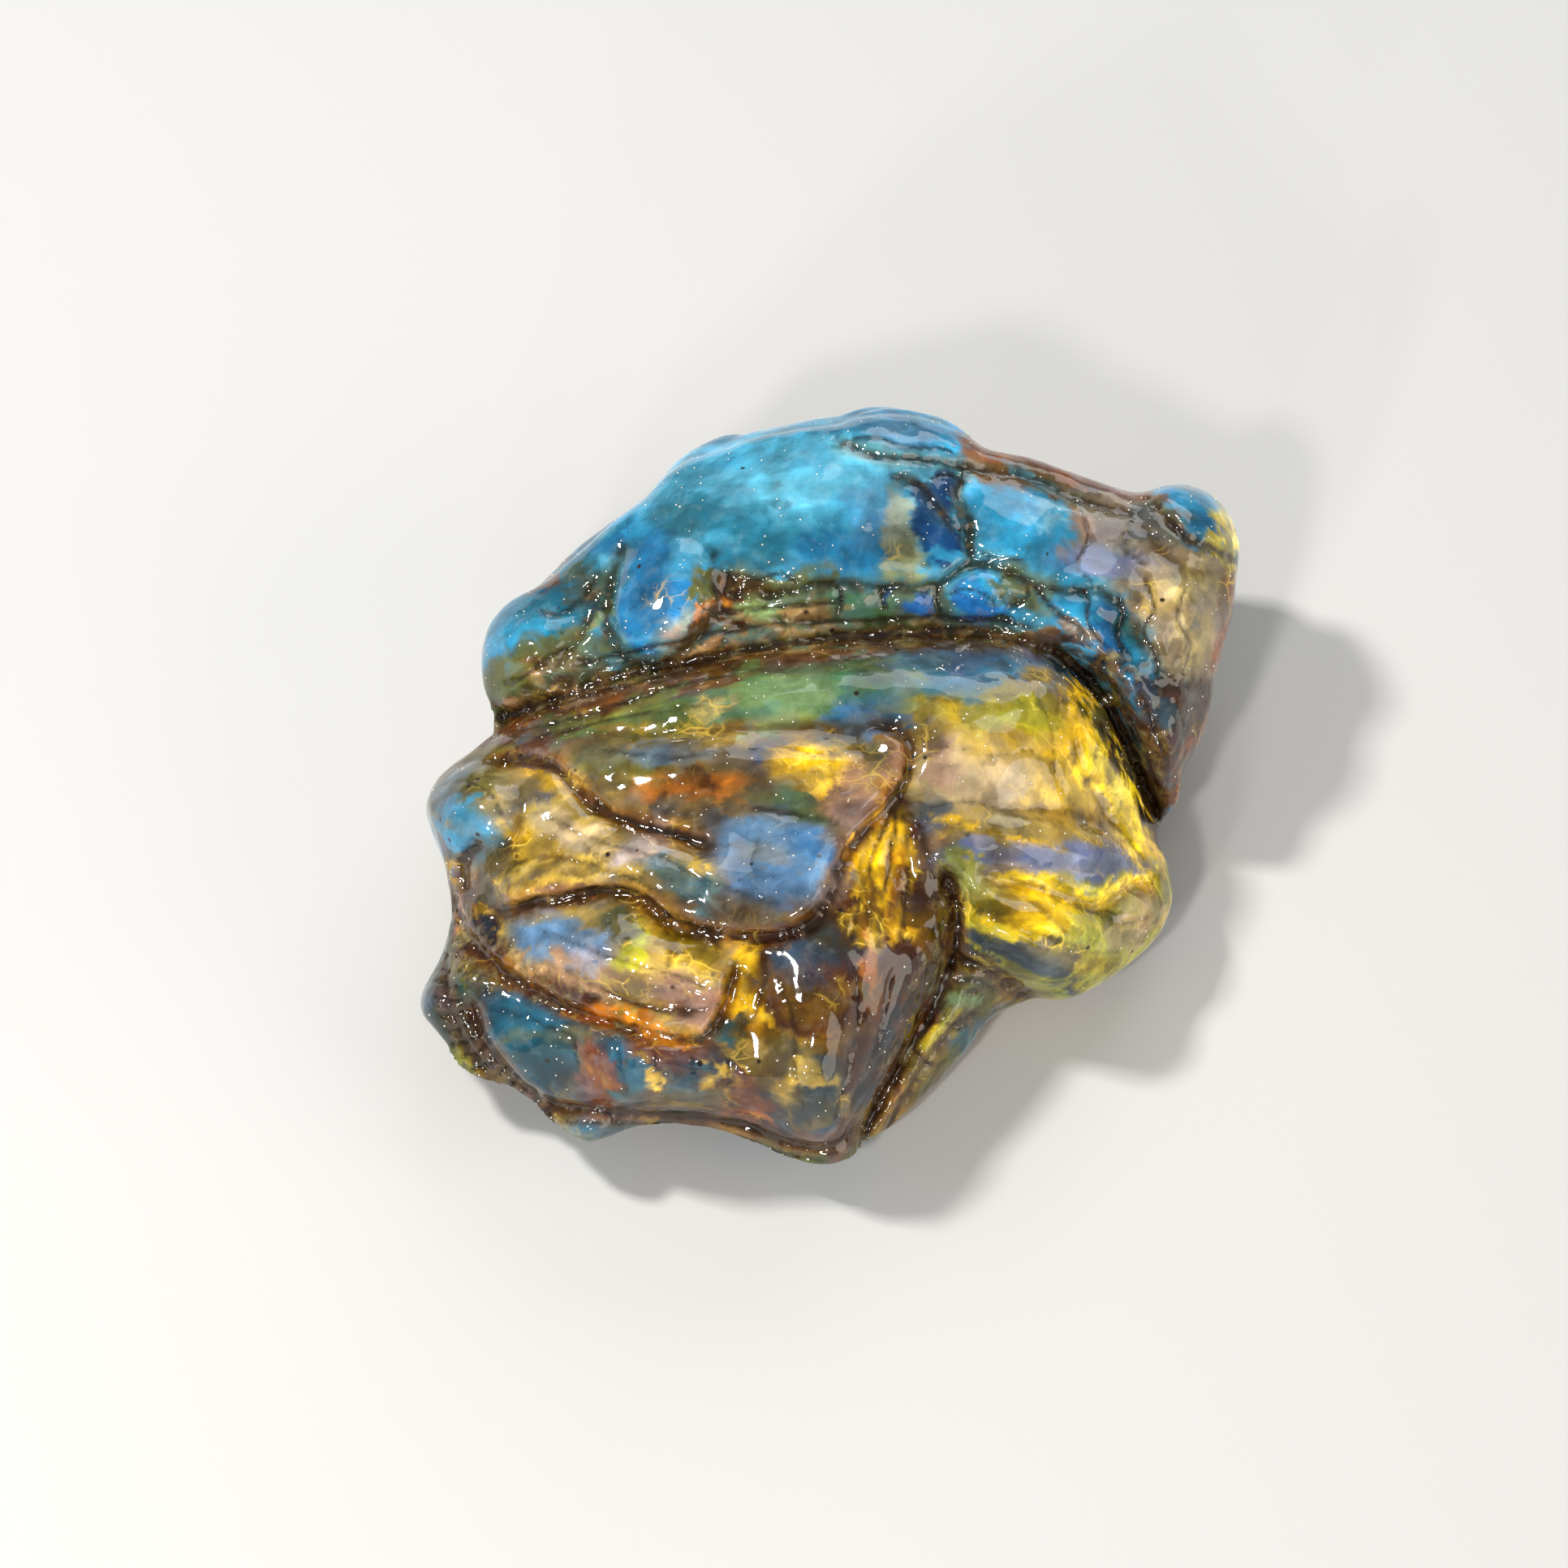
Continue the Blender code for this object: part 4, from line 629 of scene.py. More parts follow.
    "toeGreen": ("seaGreen", 0.6, 0.6, 0.2, ((-3, -29), (4.6, 1), -8)),
    # fan, keel and valley
    "fanGround": ("darkAmber", 0.95, 0.6, 0.14,
                  [(5.6, 1), (7, 0.6), (9, -4), (10, -8.6), (8.6, -14), (6, -20), (2, -26),
                   (1.6, -19), (-5, -18.4), (-5, -12), (-1, -11), (1, -8), (3, -3)]),
    "fanGold": ("gold", 0.9, 0.5, 0.46,
                [(5.9, 0.4), (3.2, -2.8), (1.6, -6), (2.2, -11.6), (4.4, -12.4),
                 (6.8, -11), (7.6, -6), (6.8, -1)]),
    "fanDark": ("darkAmber", 0.8, 0.5, 0.1, ((3.2, -9.4), (0.9, 3), 8)),
    "fanDarkTwo": ("amber", 0.7, 0.6, 0.2, ((6, -8), (0.8, 3.4), 0)),
    "fanMauve": ("mauve", 0.5, 0.7, 0.14, ((8.6, -5.4), (1.2, 2.6), 10)),
    "keelViolet": ("slateBlue", 0.8, 0.8, 0.1, ((-0.6, -13.2), (3, 3.2), 0)),
    "keelRose": ("rose", 0.5, 0.8, 0.16, ((0.8, -15.6), (1.6, 1.4), 0)),
    "keelBrown": ("brown", 0.85, 0.7, 0.08, ((1.6, -17), (3.4, 4.4), 0)),
    "keelGold": ("orange", 0.6, 0.6, 0.26, ((3.8, -13.4), (0.9, 2.6), 0)),
    "keelAmber": ("amber", 0.7, 0.7, 0.2, ((4.8, -17.6), (1.4, 3.6), -24)),
    "keelGrain": ("nearBlack", 0.95, 0.3, 0, ((2.8, -15.9), (0.6, 0.5), 0)),
    # near-black painted shade down the deep east valley
    "valleyShade": ("nearBlack", 0.85, 0.6, 0.02,
                    [(9.4, -7), (11, -9), (11.2, -12), (9, -17), (5.6, -22.6), (2.2, -28.4),
                     (1.2, -28), (4.4, -22), (7.4, -16), (8.8, -11)]),
    # east lobe
    "eastGround": ("lime", 0.7, 0.6, 0.36,
                   [(11, -5), (20, -5), (28, -5), (30, -8), (28.6, -12), (24, -16),
                    (18, -18), (14, -15), (11, -12)]),
    "eastLilac": ("lavender", 0.95, 0.5, 0.26,
                  [(11.4, -3.6), (20, -3.4), (26, -4.8), (28.4, -6), (21.6, -7.6),
                   (16, -6.4), (12, -5.4)]),
    "eastHoney": ("gold", 0.85, 0.8, 0.5, ((17, -8.8), (4.6, 1.5), -18)),
    "eastAmber": ("amber", 0.5, 0.6, 0.24, ((26, -8.4), (2, 0.8), -20)),
    "eastLineGold": ("brightGold", 0.9, 0.4, 0.6,
                     [(12, -5.6), (18, -6.6), (21.8, -8.2), (24.2, -7.2), (28.2, -6.2),
                      (28.2, -6.8), (24.4, -7.9), (21.8, -9.2), (17.6, -7.5)]),
    "eastSlate": ("slate", 0.95, 0.4, 0.14,
                  [(11, -10.2), (15, -10.8), (20, -13.4), (21.2, -15.6), (19, -16.6),
                   (16, -14.4), (11.4, -12.2)]),
    "eastRings": ("lime", 0.6, 0.6, 0.34, ((21.6, -12.2), (3.2, 1.5), -26)),
    "eastBelly": ("cream", 0.6, 0.7, 0.34, ((25.4, -11.2), (2.8, 2.2), -30)),
    "eastRim": ("lime", 0.7, 0.5, 0.34,
                [(18, -16.4), (22, -15.6), (26, -13), (29.4, -8.6), (30.4, -9), (27, -14.6),
                 (20.6, -18.4)]),
    "eastTip": ("rose", 0.5, 0.8, 0.24, ((27.4, -9.6), (2, 2.4), -20)),
    "shelfGreen": ("moss", 0.9, 0.6, 0.24,
                   [(10, -14), (14, -15), (18.4, -17.2), (14, -19), (12, -22.4),
                    (6, -27.6), (2.4, -30.4), (1.6, -29.4), (5.6, -24.8), (9, -18.6)]),
    "shelfPale": ("paleGreen", 0.8, 0.5, 0.4, ((11.4, -16.4), (3.4, 0.9), -30)),
    "shelfLime": ("lime", 0.7, 0.5, 0.4, ((9.6, -19), (0.9, 2.6), -30)),
    "shelfTeal": ("teal", 0.8, 0.6, 0.26, ((12.4, -20), (2.8, 1.6), -50)),
}

# The far side isn't in the photograph, so its paint is a guess in the same tones
farPatches = {
    "farGround": ("turquoise", 1, 1.0, 0.24, ((0, 14), (60, 60), 0)),
    "farLow": ("mauve", 0.9, 1.0, 0.14, [(-40, 7), (-27, 9.4), (-19, 12.4), (-10, 12.2),
                                        (-2, 12), (7, 13), (14, 15), (22, 15.4),
                                        (28, 14.4), (40, 13), (40, -30), (-40, -30)]),
    "farSky": ("sky", 0.7, 0.8, 0.34, ((2, 21), (9, 3.4), -6)),
    "farTeal": ("teal", 0.7, 0.7, 0.2, ((-14, 18), (6, 3), 10)),
    "farTealTwo": ("teal", 0.6, 0.7, 0.2, ((17, 19.4), (5, 2.6), -10)),
    "farLilac": ("periwinkle", 0.6, 0.8, 0.2, ((-4, 16.4), (5, 2), 0)),
    "farBelly": ("honey", 0.85, 0.9, 0.24, ((-15, 6), (9, 4.6), 14)),
    "farBellyGold": ("gold", 0.75, 0.8, 0.4, ((-18, 4.6), (4.6, 2.4), 18)),
    "farBellyLilac": ("lavender", 0.5, 0.8, 0.2, ((-10, 8.6), (4, 2), 10)),
    "farBoss": ("tealGreen", 0.85, 0.9, 0.2, ((19.6, 9.4), (7.6, 5), 10)),
    "farBossGold": ("gold", 0.6, 0.8, 0.36, ((17, 5.6), (4, 1.8), -8)),
    "farBossBlue": ("deepSky", 0.6, 0.8, 0.26, ((23, 11), (3.4, 2.4), 10)),
    "farMiddle": ("periwinkle", 0.8, 0.9, 0.22, ((2.4, 7), (6, 4.6), 0)),
    "farMiddleGold": ("orange", 0.6, 0.8, 0.3, ((-1.6, 4), (2.6, 2.2), 20)),
    "farBead": ("royal", 0.8, 0.6, 0.3, ((9.5, 15.4), (3, 2.2), 20)),
    "farRust": ("rust", 0.6, 0.8, 0.2, ((5, 2.4), (3, 1.6), 0)),
    "farEnd": ("slateBlue", 0.6, 0.9, 0.14, ((-29, 6), (4, 5), 0)),
}


# Smoky clouds laid over the grounds: tone, how much, wavelength, how drawn out, from which
# noise value, on the low or the high lobe, and seed
clouds = {
    "lowSlate": ("slateBlue", 0.65, 4.2, 1.8, 0.02, "low", 41),
    "lowOlive": ("olive", 0.7, 3.6, 2.2, 0.04, "low", 43),
    "lowGold": ("gold", 0.75, 2.9, 2.0, 0.12, "low", 47),
    "lowBlue": ("periwinkle", 0.6, 3.2, 1.6, 0.16, "low", 53),
    "lowRust": ("rust", 0.5, 2.4, 2.0, 0.24, "low", 59),
    "lowDark": ("violetBrown", 0.4, 2.0, 2.2, 0.16, "low", 61),
    "highTeal": ("teal", 0.55, 3.8, 1.6, 0.1, "high", 67),
    "highSky": ("sky", 0.5, 3.0, 1.8, 0.12, "high", 71),
    "highMoss": ("moss", 0.35, 2.2, 2.0, 0.24, "high", 73),
    "highRoyal": ("royal", 0.4, 2.6, 1.4, 0.22, "high", 79),
}

cloudShift = 0.02        # metres between the clouds under the paint and those over it

# How the paint's edges wander: wavelength, how far, and seed
paintWarp = [(5.2, 1.1, 11), (2.1, 0.55, 23), (0.9, 0.3, 29)]

# Flakes break the paint up: size, how drawn out, how far they shove the paint's edges, how much
# they change its shade, and seed
flakes = [(2.8, 1.7, 0.8, 0.16, 83), (1.3, 1.5, 0.5, 0.16, 89)]

# Where gold veins crowd: centre, radii and how much
veinSpots = [((-12.2, 14.6), (2.6, 3.4), 0.9), ((6.6, 21), (2, 4), 0.5), ((24.6, 0), (2, 6), 1),
             ((4.6, -4), (2.6, 6), 1), ((19, -8.6), (8, 3), 1), ((-13, -11), (6, 3), 0.2)]

# How dark the painted shade line in a fold is along its length, where it isn't dark all along:
# share of the length, and darkness
foldShadeProfile = {
    "flapEdge": [(0, 0.4), (0.16, 0.5), (0.28, 0.6), (0.34, 1), (0.54, 1), (0.6, 0.15),
                 (0.78, 0.15), (0.84, 1), (0.93, 0.9), (1, 0)],
    "leftRavine": [(0, 1), (0.3, 1), (0.42, 0.3), (0.7, 0.15), (0.85, 0.5), (1, 0.2)],
    "slit": [(0, 1), (0.35, 1), (0.5, 0.5), (0.7, 0.2), (1, 0.2)],
    "humpSeam": [(0, 0.2), (0.25, 0.8), (0.42, 0.5), (0.6, 0.1), (0.8, 0.3), (1, 0.6)],
    "cellWall": [(0, 0.2), (0.3, 0.2), (0.5, 0.1), (0.7, 0.4), (1, 0.8)],
    "grooveStep": [(0, 0.3), (1, 0.1)],
    "bottomEdge": [(0, 0.8), (0.4, 0.6), (0.6, 0.8), (1, 0.5)],
    "beadEdge": [(0, 0.3), (0.5, 0.5), (1, 0.6)],
    "flankSeam": [(0, 0.6), (0.5, 0.2), (1, 0.1)],
}

# Painted shade and highlight: hollows are painted darker and browner, and ridges paler. Rounds
# are how far out each one looks.
relief = {
    "rounds": (3, 50),
    "creaseFrom": 0.008 * mm,
    "creaseTo": 0.06 * mm,
    "valleyFrom": 0.0,
    "valleyTo": 0.50 * mm,
    "valleyShadeTone": (0.74, 0.58, 0.38),
    "creaseShade": 0.60,
    "ridgeHighlight": 0.30,
}

# Paint along the folds: crust, a dark line of painted shade in the crease, and halos
foldPaint = {
    "crustReach": 1.15 * mm,
    "shadeReach": 0.46 * mm,
    "haloReach": 1.6 * mm,
    "haloMuch": 0.42,
    "haloGlow": 0.25,
    "deepFrom": 1.4,                     # a fold this deep, in millimetres, has its full painted shade line and halos
    "edge": 0.8,
    "margin": 1.6,
    "cleanShade": 0.4,                    # how dark the painted shade line is in a fold without crust
    "leastVein": 0.05,
}


# How the fine carving wanders and breaks up, and how dark its painted crease shade is
carving = {
    "wobbleLength": 2.4 * mm,
    "wobbleSeeds": (3, 9),
    "foldWobble": 0.35 * mm,
    "farWobble": 0.5 * mm,
    "groundWobble": 0.8 * mm,
    "creaseWobble": 0.22 * mm,
    "thickness": (3.2 * mm, 13),         # wavelength and seed of the uneven width of the crust, painted shade lines and halos
    "gaps": (7.5 * mm, 15),              # the same for the gaps in the painted shade lines
    "creaseCrust": 0.3,
    "creaseShade": 0.7,
    "ribShade": 0.5,
    "foldWet": 0.6,
    "groundSoft": 0.9,
    "wetSeed": 19,
    "crumbSeeds": (5, 7),
    "crumbFiner": 0.4,                   # the finer crumbs' share in size and in height
    "crumbLow": 0.6,
}

# Where the two sides' paint meets, and what the underside and the veins are like; glow is dimmed
# as painted shade underneath and in hollows and creases
paintLook = {
    "ground": "mauve",
    "groundGlow": 0.15,
    "lowGrounds": ("lowerGround", "farLow"),
    "cloudShare": 0.25,
    "sideNoise": (5 * mm, 31, 0.3),      # wavelength, seed and how much
    "sideBlend": (-0.4, -0.05),
    "warmth": (-0.1, 0.95),              # how warm a tone is where veins start, and at most
    "redness": (0.10, 0.42),
    "shadeGain": (0.8, 1.5),             # flakes: plain, and added where veins are
    "valleyGold": 0.8,
    "valleyShadeDim": 0.75,
    "creaseShadeDim": 0.5,
    "uneven": (4.2 * mm, 15),
    "underFrom": (0.3, 0.8),
    "underCrust": (4 * mm, 37, 0.5),
    "underShadeDim": 0.8,
}


def viewAxes(azimuth, elevation):
    # across, up and towards the eye
    across = np.array([math.cos(azimuth), math.sin(azimuth), 0])
    level = np.array([-math.sin(azimuth), math.cos(azimuth), 0])
    up = level * math.sin(elevation) + np.array([0, 0, math.cos(elevation)])
    towards = -level * math.cos(elevation) + np.array([0, 0, math.sin(elevation)])
    return np.array([across, up, towards])


def smoothStep(values, low, high):
    t = np.clip((values - low) / (high - low), 0, 1)
    return t * t * (3 - 2 * t)


def smoothLine(points, closed=False, steps=8):
    p = np.array(points, float)
    count = len(p)
    made = []
    for i in range(count if closed else count - 1):
        if closed:
            a, b, c, d = (p[(i + k) % count] for k in (-1, 0, 1, 2))
        else:
            a, b, c, d = (p[min(max(i + k, 0), count - 1)] for k in (-1, 0, 1, 2))
        for t in np.arange(steps) / steps:
            made.append(0.5 * (2 * b + (c - a) * t + (2 * a - 5 * b + 4 * c - d) * t**2
                               + (3 * b - a - 3 * c + d) * t**3))
    if not closed:
        made.append(p[-1])
    return np.array(made)


def pointsOf(mesh):
    values = np.empty(len(mesh.vertices) * 3, np.float32)
    mesh.vertices.foreach_get("co", values)
    return values.reshape(-1, 3).astype(float)


def normalsOf(mesh):
    values = np.empty(len(mesh.vertices) * 3, np.float32)
    mesh.vertex_normals.foreach_get("vector", values)
    return values.reshape(-1, 3).astype(float)


def movePoints(mesh, places):
    mesh.vertices.foreach_set("co", places.astype(np.float32).ravel())
    mesh.update()


def noiseAt(places, wavelength, shift=0.0):
    away = Vector((shift, shift * 0.7, shift * 1.3))
    return np.array([noise.noise(Vector(p / wavelength) + away) for p in places])


def flakesAt(places, size, seed):
    # random numbers from -1 to 1, the same all over each cell
    away = Vector((seed, seed * 0.7, seed * 1.3))
    hearts = np.array([noise.voronoi(Vector(p / size) + away)[1][0] for p in places])
    mixed = hearts @ np.array([[12.99, 39.35, 73.16], [78.23, 11.14, 52.24], [37.72, 83.16, 9.45]])
    return 2 * np.modf(np.abs(np.sin(mixed) * 43758.5))[0] - 1


def bakeModifiers(obj):
    graph = bpy.context.evaluated_depsgraph_get()
    made = bpy.data.meshes.new_from_object(obj.evaluated_get(graph))
    obj.modifiers.clear()
    obj.data = made


def remesh(obj, cell):
    modifier = obj.modifiers.new("even cells", "REMESH")
    modifier.mode = "VOXEL"
    modifier.voxel_size = cell
    bakeModifiers(obj)


def rimAt(angles):
    # how far out the rim is at each angle, the same softened, and its softened height
    curve = smoothLine(rim, closed=True)
    turn = np.arctan2(curve[:, 1], curve[:, 0])
    order = np.argsort(turn)
    turn, curve = turn[order], curve[order]
    reach = np.hypot(curve[:, 0], curve[:, 1])
    even = np.linspace(-math.pi, math.pi, nugget["rimSteps"], endpoint=False)
    reachEven = np.interp(even, turn, reach, period=2 * math.pi)
    heightEven = np.interp(even, turn, curve[:, 2], period=2 * math.pi)
    window = np.hanning(nugget["rimWindow"])
    window /= window.sum()
    half = nugget["rimWindow"] // 2
    found = [reachEven]
    for values in (reachEven, heightEven):
        closed = np.concatenate([values[-half:], values, values[:half]])
        found.append(np.convolve(closed, window, "valid"))
    return [np.interp(angles, even, values, period=2 * math.pi) * mm for values in found]


def stretchToRim(spherePoints, axes):
    x, y, z = spherePoints.T
    out = np.clip(np.hypot(x, y), 0, 1)
    angle = np.arctan2(y, x)
    reach, softReach, height = rimAt(angle)
    detail = smoothStep(out, nugget["rimDetailFrom"], 1.0)
    radius = (softReach + (reach - softReach) * detail) * out
    across, up = radius * np.cos(angle), radius * np.sin(angle)
    steep = nugget["viewElevation"]
    rimLevel = nugget["middleHeight"] + (height - nugget["middleHeight"]) * out**2
    rimDepth = (rimLevel - up * math.cos(steep)) / math.sin(steep)
    dome = np.where(z > 0, nugget["frontDome"], nugget["backDome"]) * z
    return np.stack([across, up, rimDepth + dome], 1) @ axes


def spotShare(seen, centre, radii, tilt):
    # 0 in the middle of the spot and 1 at its edge
    turn = math.radians(tilt)
    away = seen - np.array(centre) * mm
    along = away[:, 0] * math.cos(turn) + away[:, 1] * math.sin(turn)
    beside = away[:, 1] * math.cos(turn) - away[:, 0] * math.sin(turn)
    return (along / (radii[0] * mm)) ** 2 + (beside / (radii[1] * mm)) ** 2


def lobeHeight(seen, centre, radii, tilt, height, edge):
    return height * mm * np.clip(1 - spotShare(seen, centre, radii, tilt), 0, 1) ** edge


def nearestOnLine(seen, line):
    best = np.full(len(seen), 1e9)
    side = np.zeros(len(seen))
    along = np.zeros(len(seen))
    gone = 0.0
    for a, b in zip(line[:-1], line[1:]):
        step = b - a
        length = float(np.hypot(*step))
        if length < 1e-9:
            continue
        t = np.clip(((seen - a) @ step) / length**2, 0, 1)
        away = seen - (a + t[:, None] * step)
        distance = np.hypot(away[:, 0], away[:, 1])
        nearer = distance < best
        best[nearer] = distance[nearer]
        turned = step[0] * away[:, 1] - step[1] * away[:, 0]
        side[nearer] = np.sign(turned[nearer])
        along[nearer] = gone + t[nearer] * length
        gone += length
    return best, side, along, gone


def foldHeight(seen, line, width, depth, rise=0, spread=1, fade=1, crust=0):
    # how far the fold moves each point, and how deep in the fold it is, from 0 to 1
    curve = smoothLine(line) * mm
    height = np.zeros(len(seen))
    inside = np.zeros(len(seen))
    reach = max(width, spread) * mm
    close = np.all((seen > curve.min(0) - reach) & (seen < curve.max(0) + reach), axis=1)
    if not close.any():
        return height, inside
    distance, side, along, length = nearestOnLine(seen[close], curve)
    ends = smoothStep(np.minimum(along, length - along), 0, fade * mm)
    near = np.clip(1 - distance / (width * mm), 0, 1)
    cut = depth * mm * (1 - np.sqrt(1 - near**2))
    lip = np.sqrt(1 - np.clip(1 - distance / nugget["lipRounding"], 0, 1) ** 2)
    lift = rise * mm * np.clip(1 - distance / (spread * mm), 0, 1) ** 2 * lip * (side > 0)
    height[close] = ends * (lift - cut)
    inside[close] = ends * near
    return height, inside


def sculpt(mesh, axes, lobes, folds, awayFrom=None):
    places = pointsOf(mesh)
    seen = places @ axes[:2].T
    facing = smoothStep(normalsOf(mesh) @ axes[2], *nugget["frontFade"])
    if awayFrom is not None:
        facing *= smoothStep(normalsOf(mesh) @ awayFrom[2], *nugget["farFade"])
    height = np.zeros(len(places))
    for centre, radii, tilt, lift, edge in lobes.values():
        height += lobeHeight(seen, centre, radii, tilt, lift, edge)
    for fold in folds.values():
        height += foldHeight(seen, **fold)[0]
    movePoints(mesh, places + (height * facing)[:, None] * axes[2])


def swell(mesh, sizes):
    places, out = pointsOf(mesh), normalsOf(mesh)
    lift = sum(height * noiseAt(places, wavelength) for wavelength, height in sizes)
    movePoints(mesh, places + lift[:, None] * out)


def levelUnderside(mesh):
    places = pointsOf(mesh)
    middle = places[:, :2].mean(0)
    out = np.hypot(*((places[:, :2] - middle) / nugget["dishReach"]).T)
    floor = nugget["dishLift"] * np.clip(out, 0, nugget["wornUpTo"]) ** 2
    for x, y, radius in nugget["feet"]:
        away = np.hypot(places[:, 0] - x * mm, places[:, 1] - y * mm)
        floor -= nugget["footDrop"] * np.clip(1 - (away / (radius * mm)) ** 2, 0, 1) ** 2
    gap = places[:, 2] - floor
    places[:, 2] = floor + 0.5 * (gap + np.sqrt(gap**2 + nugget["wornBlend"]**2))
    places[:, 2] = np.maximum(places[:, 2], 0)
    movePoints(mesh, places)


def insideOutline(seen, outline, soft):
    # 1 well inside the outline, 0 well outside, and in between across its soft edge
    corners = np.array(outline, float) * mm
    inside = np.zeros(len(seen), bool)
    distance = np.full(len(seen), 1e9)
    for a, b in zip(corners, np.roll(corners, -1, 0)):
        step = b - a
        t = np.clip(((seen - a) @ step) / (step @ step), 0, 1)
        distance = np.minimum(distance, np.hypot(*(seen - a - t[:, None] * step).T))
        crosses = (a[1] > seen[:, 1]) != (b[1] > seen[:, 1])
        if abs(step[1]) > 1e-12:
            at = a[0] + (seen[:, 1] - a[1]) / step[1] * step[0]
            inside ^= crosses & (seen[:, 0] < at)
    return smoothStep(np.where(inside, distance, -distance), -soft * mm, soft * mm)


def patchMask(seen, shape, soft):
    if len(shape) == 3 and np.isscalar(shape[2]):
        share = np.sqrt(spotShare(seen, *shape))
        return 1 - smoothStep(share, 1 - soft * 0.7, 1 + soft * 0.35)
    return insideOutline(seen, shape, soft)


def linearTone(name):
    value = np.array(palette[name]) / 255
    return np.where(value <= 0.04045, value / 12.92, ((value + 0.055) / 1.055) ** 2.4)


def ribLines():
    # short creases across the ribbed band
    path = smoothLine(ribBand["path"])
    steps = np.hypot(*np.diff(path, axis=0).T)
    gone = np.concatenate([[0], np.cumsum(steps)])
    lines = []
    for i in range(ribBand["count"]):
        at = gone[-1] * (i + 0.5) / ribBand["count"]
        here = np.array([np.interp(at, gone, path[:, k]) for k in (0, 1)])
        ahead = np.array([np.interp(at + 0.3, gone, path[:, k]) for k in (0, 1)]) - here
        across = np.array([-ahead[1], ahead[0]]) / max(np.hypot(*ahead), 1e-6)
        tip = across * ribBand["reach"] + ahead
        lines.append([tuple(here - tip), tuple(here + ahead), tuple(here + tip)])
    return lines


def foldMarks(seen, folds, faces, broken):
    # crust, dark line of painted shade in the crease, brown halo and gold halo along each fold,
    # from 0 to 1
    marks = np.zeros((4, len(seen)))
    reaches = [foldPaint[name] for name in ("crustReach", "shadeReach", "haloReach", "haloReach")]
    for name, fold in folds.items():
        curve = smoothLine(fold["line"]) * mm
        margin = foldPaint["margin"] * max(reaches)
        close = np.all((seen > curve.min(0) - margin) & (seen < curve.max(0) + margin), axis=1)
        if not close.any():
            continue
        distance, _, along, length = nearestOnLine(seen[close], curve)
        ends = smoothStep(np.minimum(along, length - along), 0, fold["fade"] * mm)
        deep = min(1, fold["depth"] / foldPaint["deepFrom"])
        brown = fold["crust"] > 0
        weights = (fold["crust"], deep if brown else foldPaint["cleanShade"] * deep,
                   deep * brown, deep * (not brown))
        profile = np.array(foldShadeProfile.get(name, [(0, 1), (1, 1)]), float)
        darkness = np.interp(along / length, profile[:, 0], profile[:, 1])
        for k in range(4):
            reach = reaches[k] * (0.5 + 0.5 * broken[0][close])
            near = ends * weights[k] * smoothStep(1 - distance / reach, 0, foldPaint["edge"])
            if k == 1:
                near *= broken[1][close] * darkness
            marks[k, close] = np.maximum(marks[k, close], near)
    return marks * faces


def carveFine(mesh, axes, far):
    # creases, ribs, pits and crust; returns the crust, dark lines of painted shade and halos at
    # each point
    places, out = pointsOf(mesh), normalsOf(mesh)
    seen = places @ axes[:2].T
    farSeen = places @ far[:2].T
    facing = smoothStep(out @ axes[2], *nugget["frontFade"])
    farFacing = smoothStep(out @ far[2], *nugget["frontFade"])
    farFacing *= smoothStep(out @ axes[2], *nugget["farFade"])
    wobble = np.stack([noiseAt(places, carving["wobbleLength"], seed)
                       for seed in carving["wobbleSeeds"]], 1)
    height = np.zeros(len(places))
    broken = (np.clip(0.75 + 1.5 * noiseAt(places, *carving["thickness"]), 0.12, 1.5),
              smoothStep(noiseAt(places, *carving["gaps"]), -0.45, 0.1))
    crust, dark, brown, golden = np.maximum(
        foldMarks(seen + wobble * carving["foldWobble"], frontFolds, facing, broken),
        foldMarks(farSeen + wobble * carving["farWobble"], farFolds, farFacing, broken))
    shifted = seen + wobble * carving["groundWobble"]
    for outline, much in crustGrounds.values():
        ground = much * insideOutline(shifted, outline, carving["groundSoft"])
        crust = np.maximum(crust, ground * facing)
    for line, width, depth, dirt in fineFolds.values():
        lift, inside = foldHeight(seen + wobble * carving["creaseWobble"], line, width, depth)
        height += lift * facing
        dirt = dirt * facing
        crust = np.maximum(crust, carving["creaseCrust"] * dirt * smoothStep(inside, 0.2, 0.8))
        # painted shade along the fine crease
        dark = np.maximum(dark, carving["creaseShade"] * dirt * smoothStep(inside, 0.5, 1))
    for line in ribLines():
        lift, inside = foldHeight(seen, line, ribBand["width"], ribBand["depth"],
                                  fade=ribBand["fade"])
        height += lift * facing
        # painted shade in the rib creases
        dark = np.maximum(dark, carving["ribShade"] * smoothStep(inside, 0.4, 1) * facing)
    for centre, radii, depth in pits:
        height -= lobeHeight(seen, centre, radii, 0, depth, 1) * facing
    wet = carving["foldWet"] * np.maximum(brown, golden)
    for centre, radii, tilt, much in wetSpots:
        share = smoothStep(1 - spotShare(shifted, centre, radii, tilt), 0, 0.5)
        wet = np.maximum(wet, much * share * facing)
    height += nugget["wetHeight"] * wet * noiseAt(places, nugget["wetBump"], carving["wetSeed"])
    seed, finerSeed = carving["crumbSeeds"]
    finer = carving["crumbFiner"]
    crumb = 1 - 2 * np.abs(noiseAt(places, nugget["crustLump"], seed))
    crumb += finer * noiseAt(places, nugget["crustLump"] * finer, finerSeed)
    height += nugget["crustHeight"] * crust * (crumb - carving["crumbLow"])
    movePoints(mesh, places + (height * facing)[:, None] * axes[2]
               + (height * (1 - facing))[:, None] * out)
    return crust, dark, brown, golden


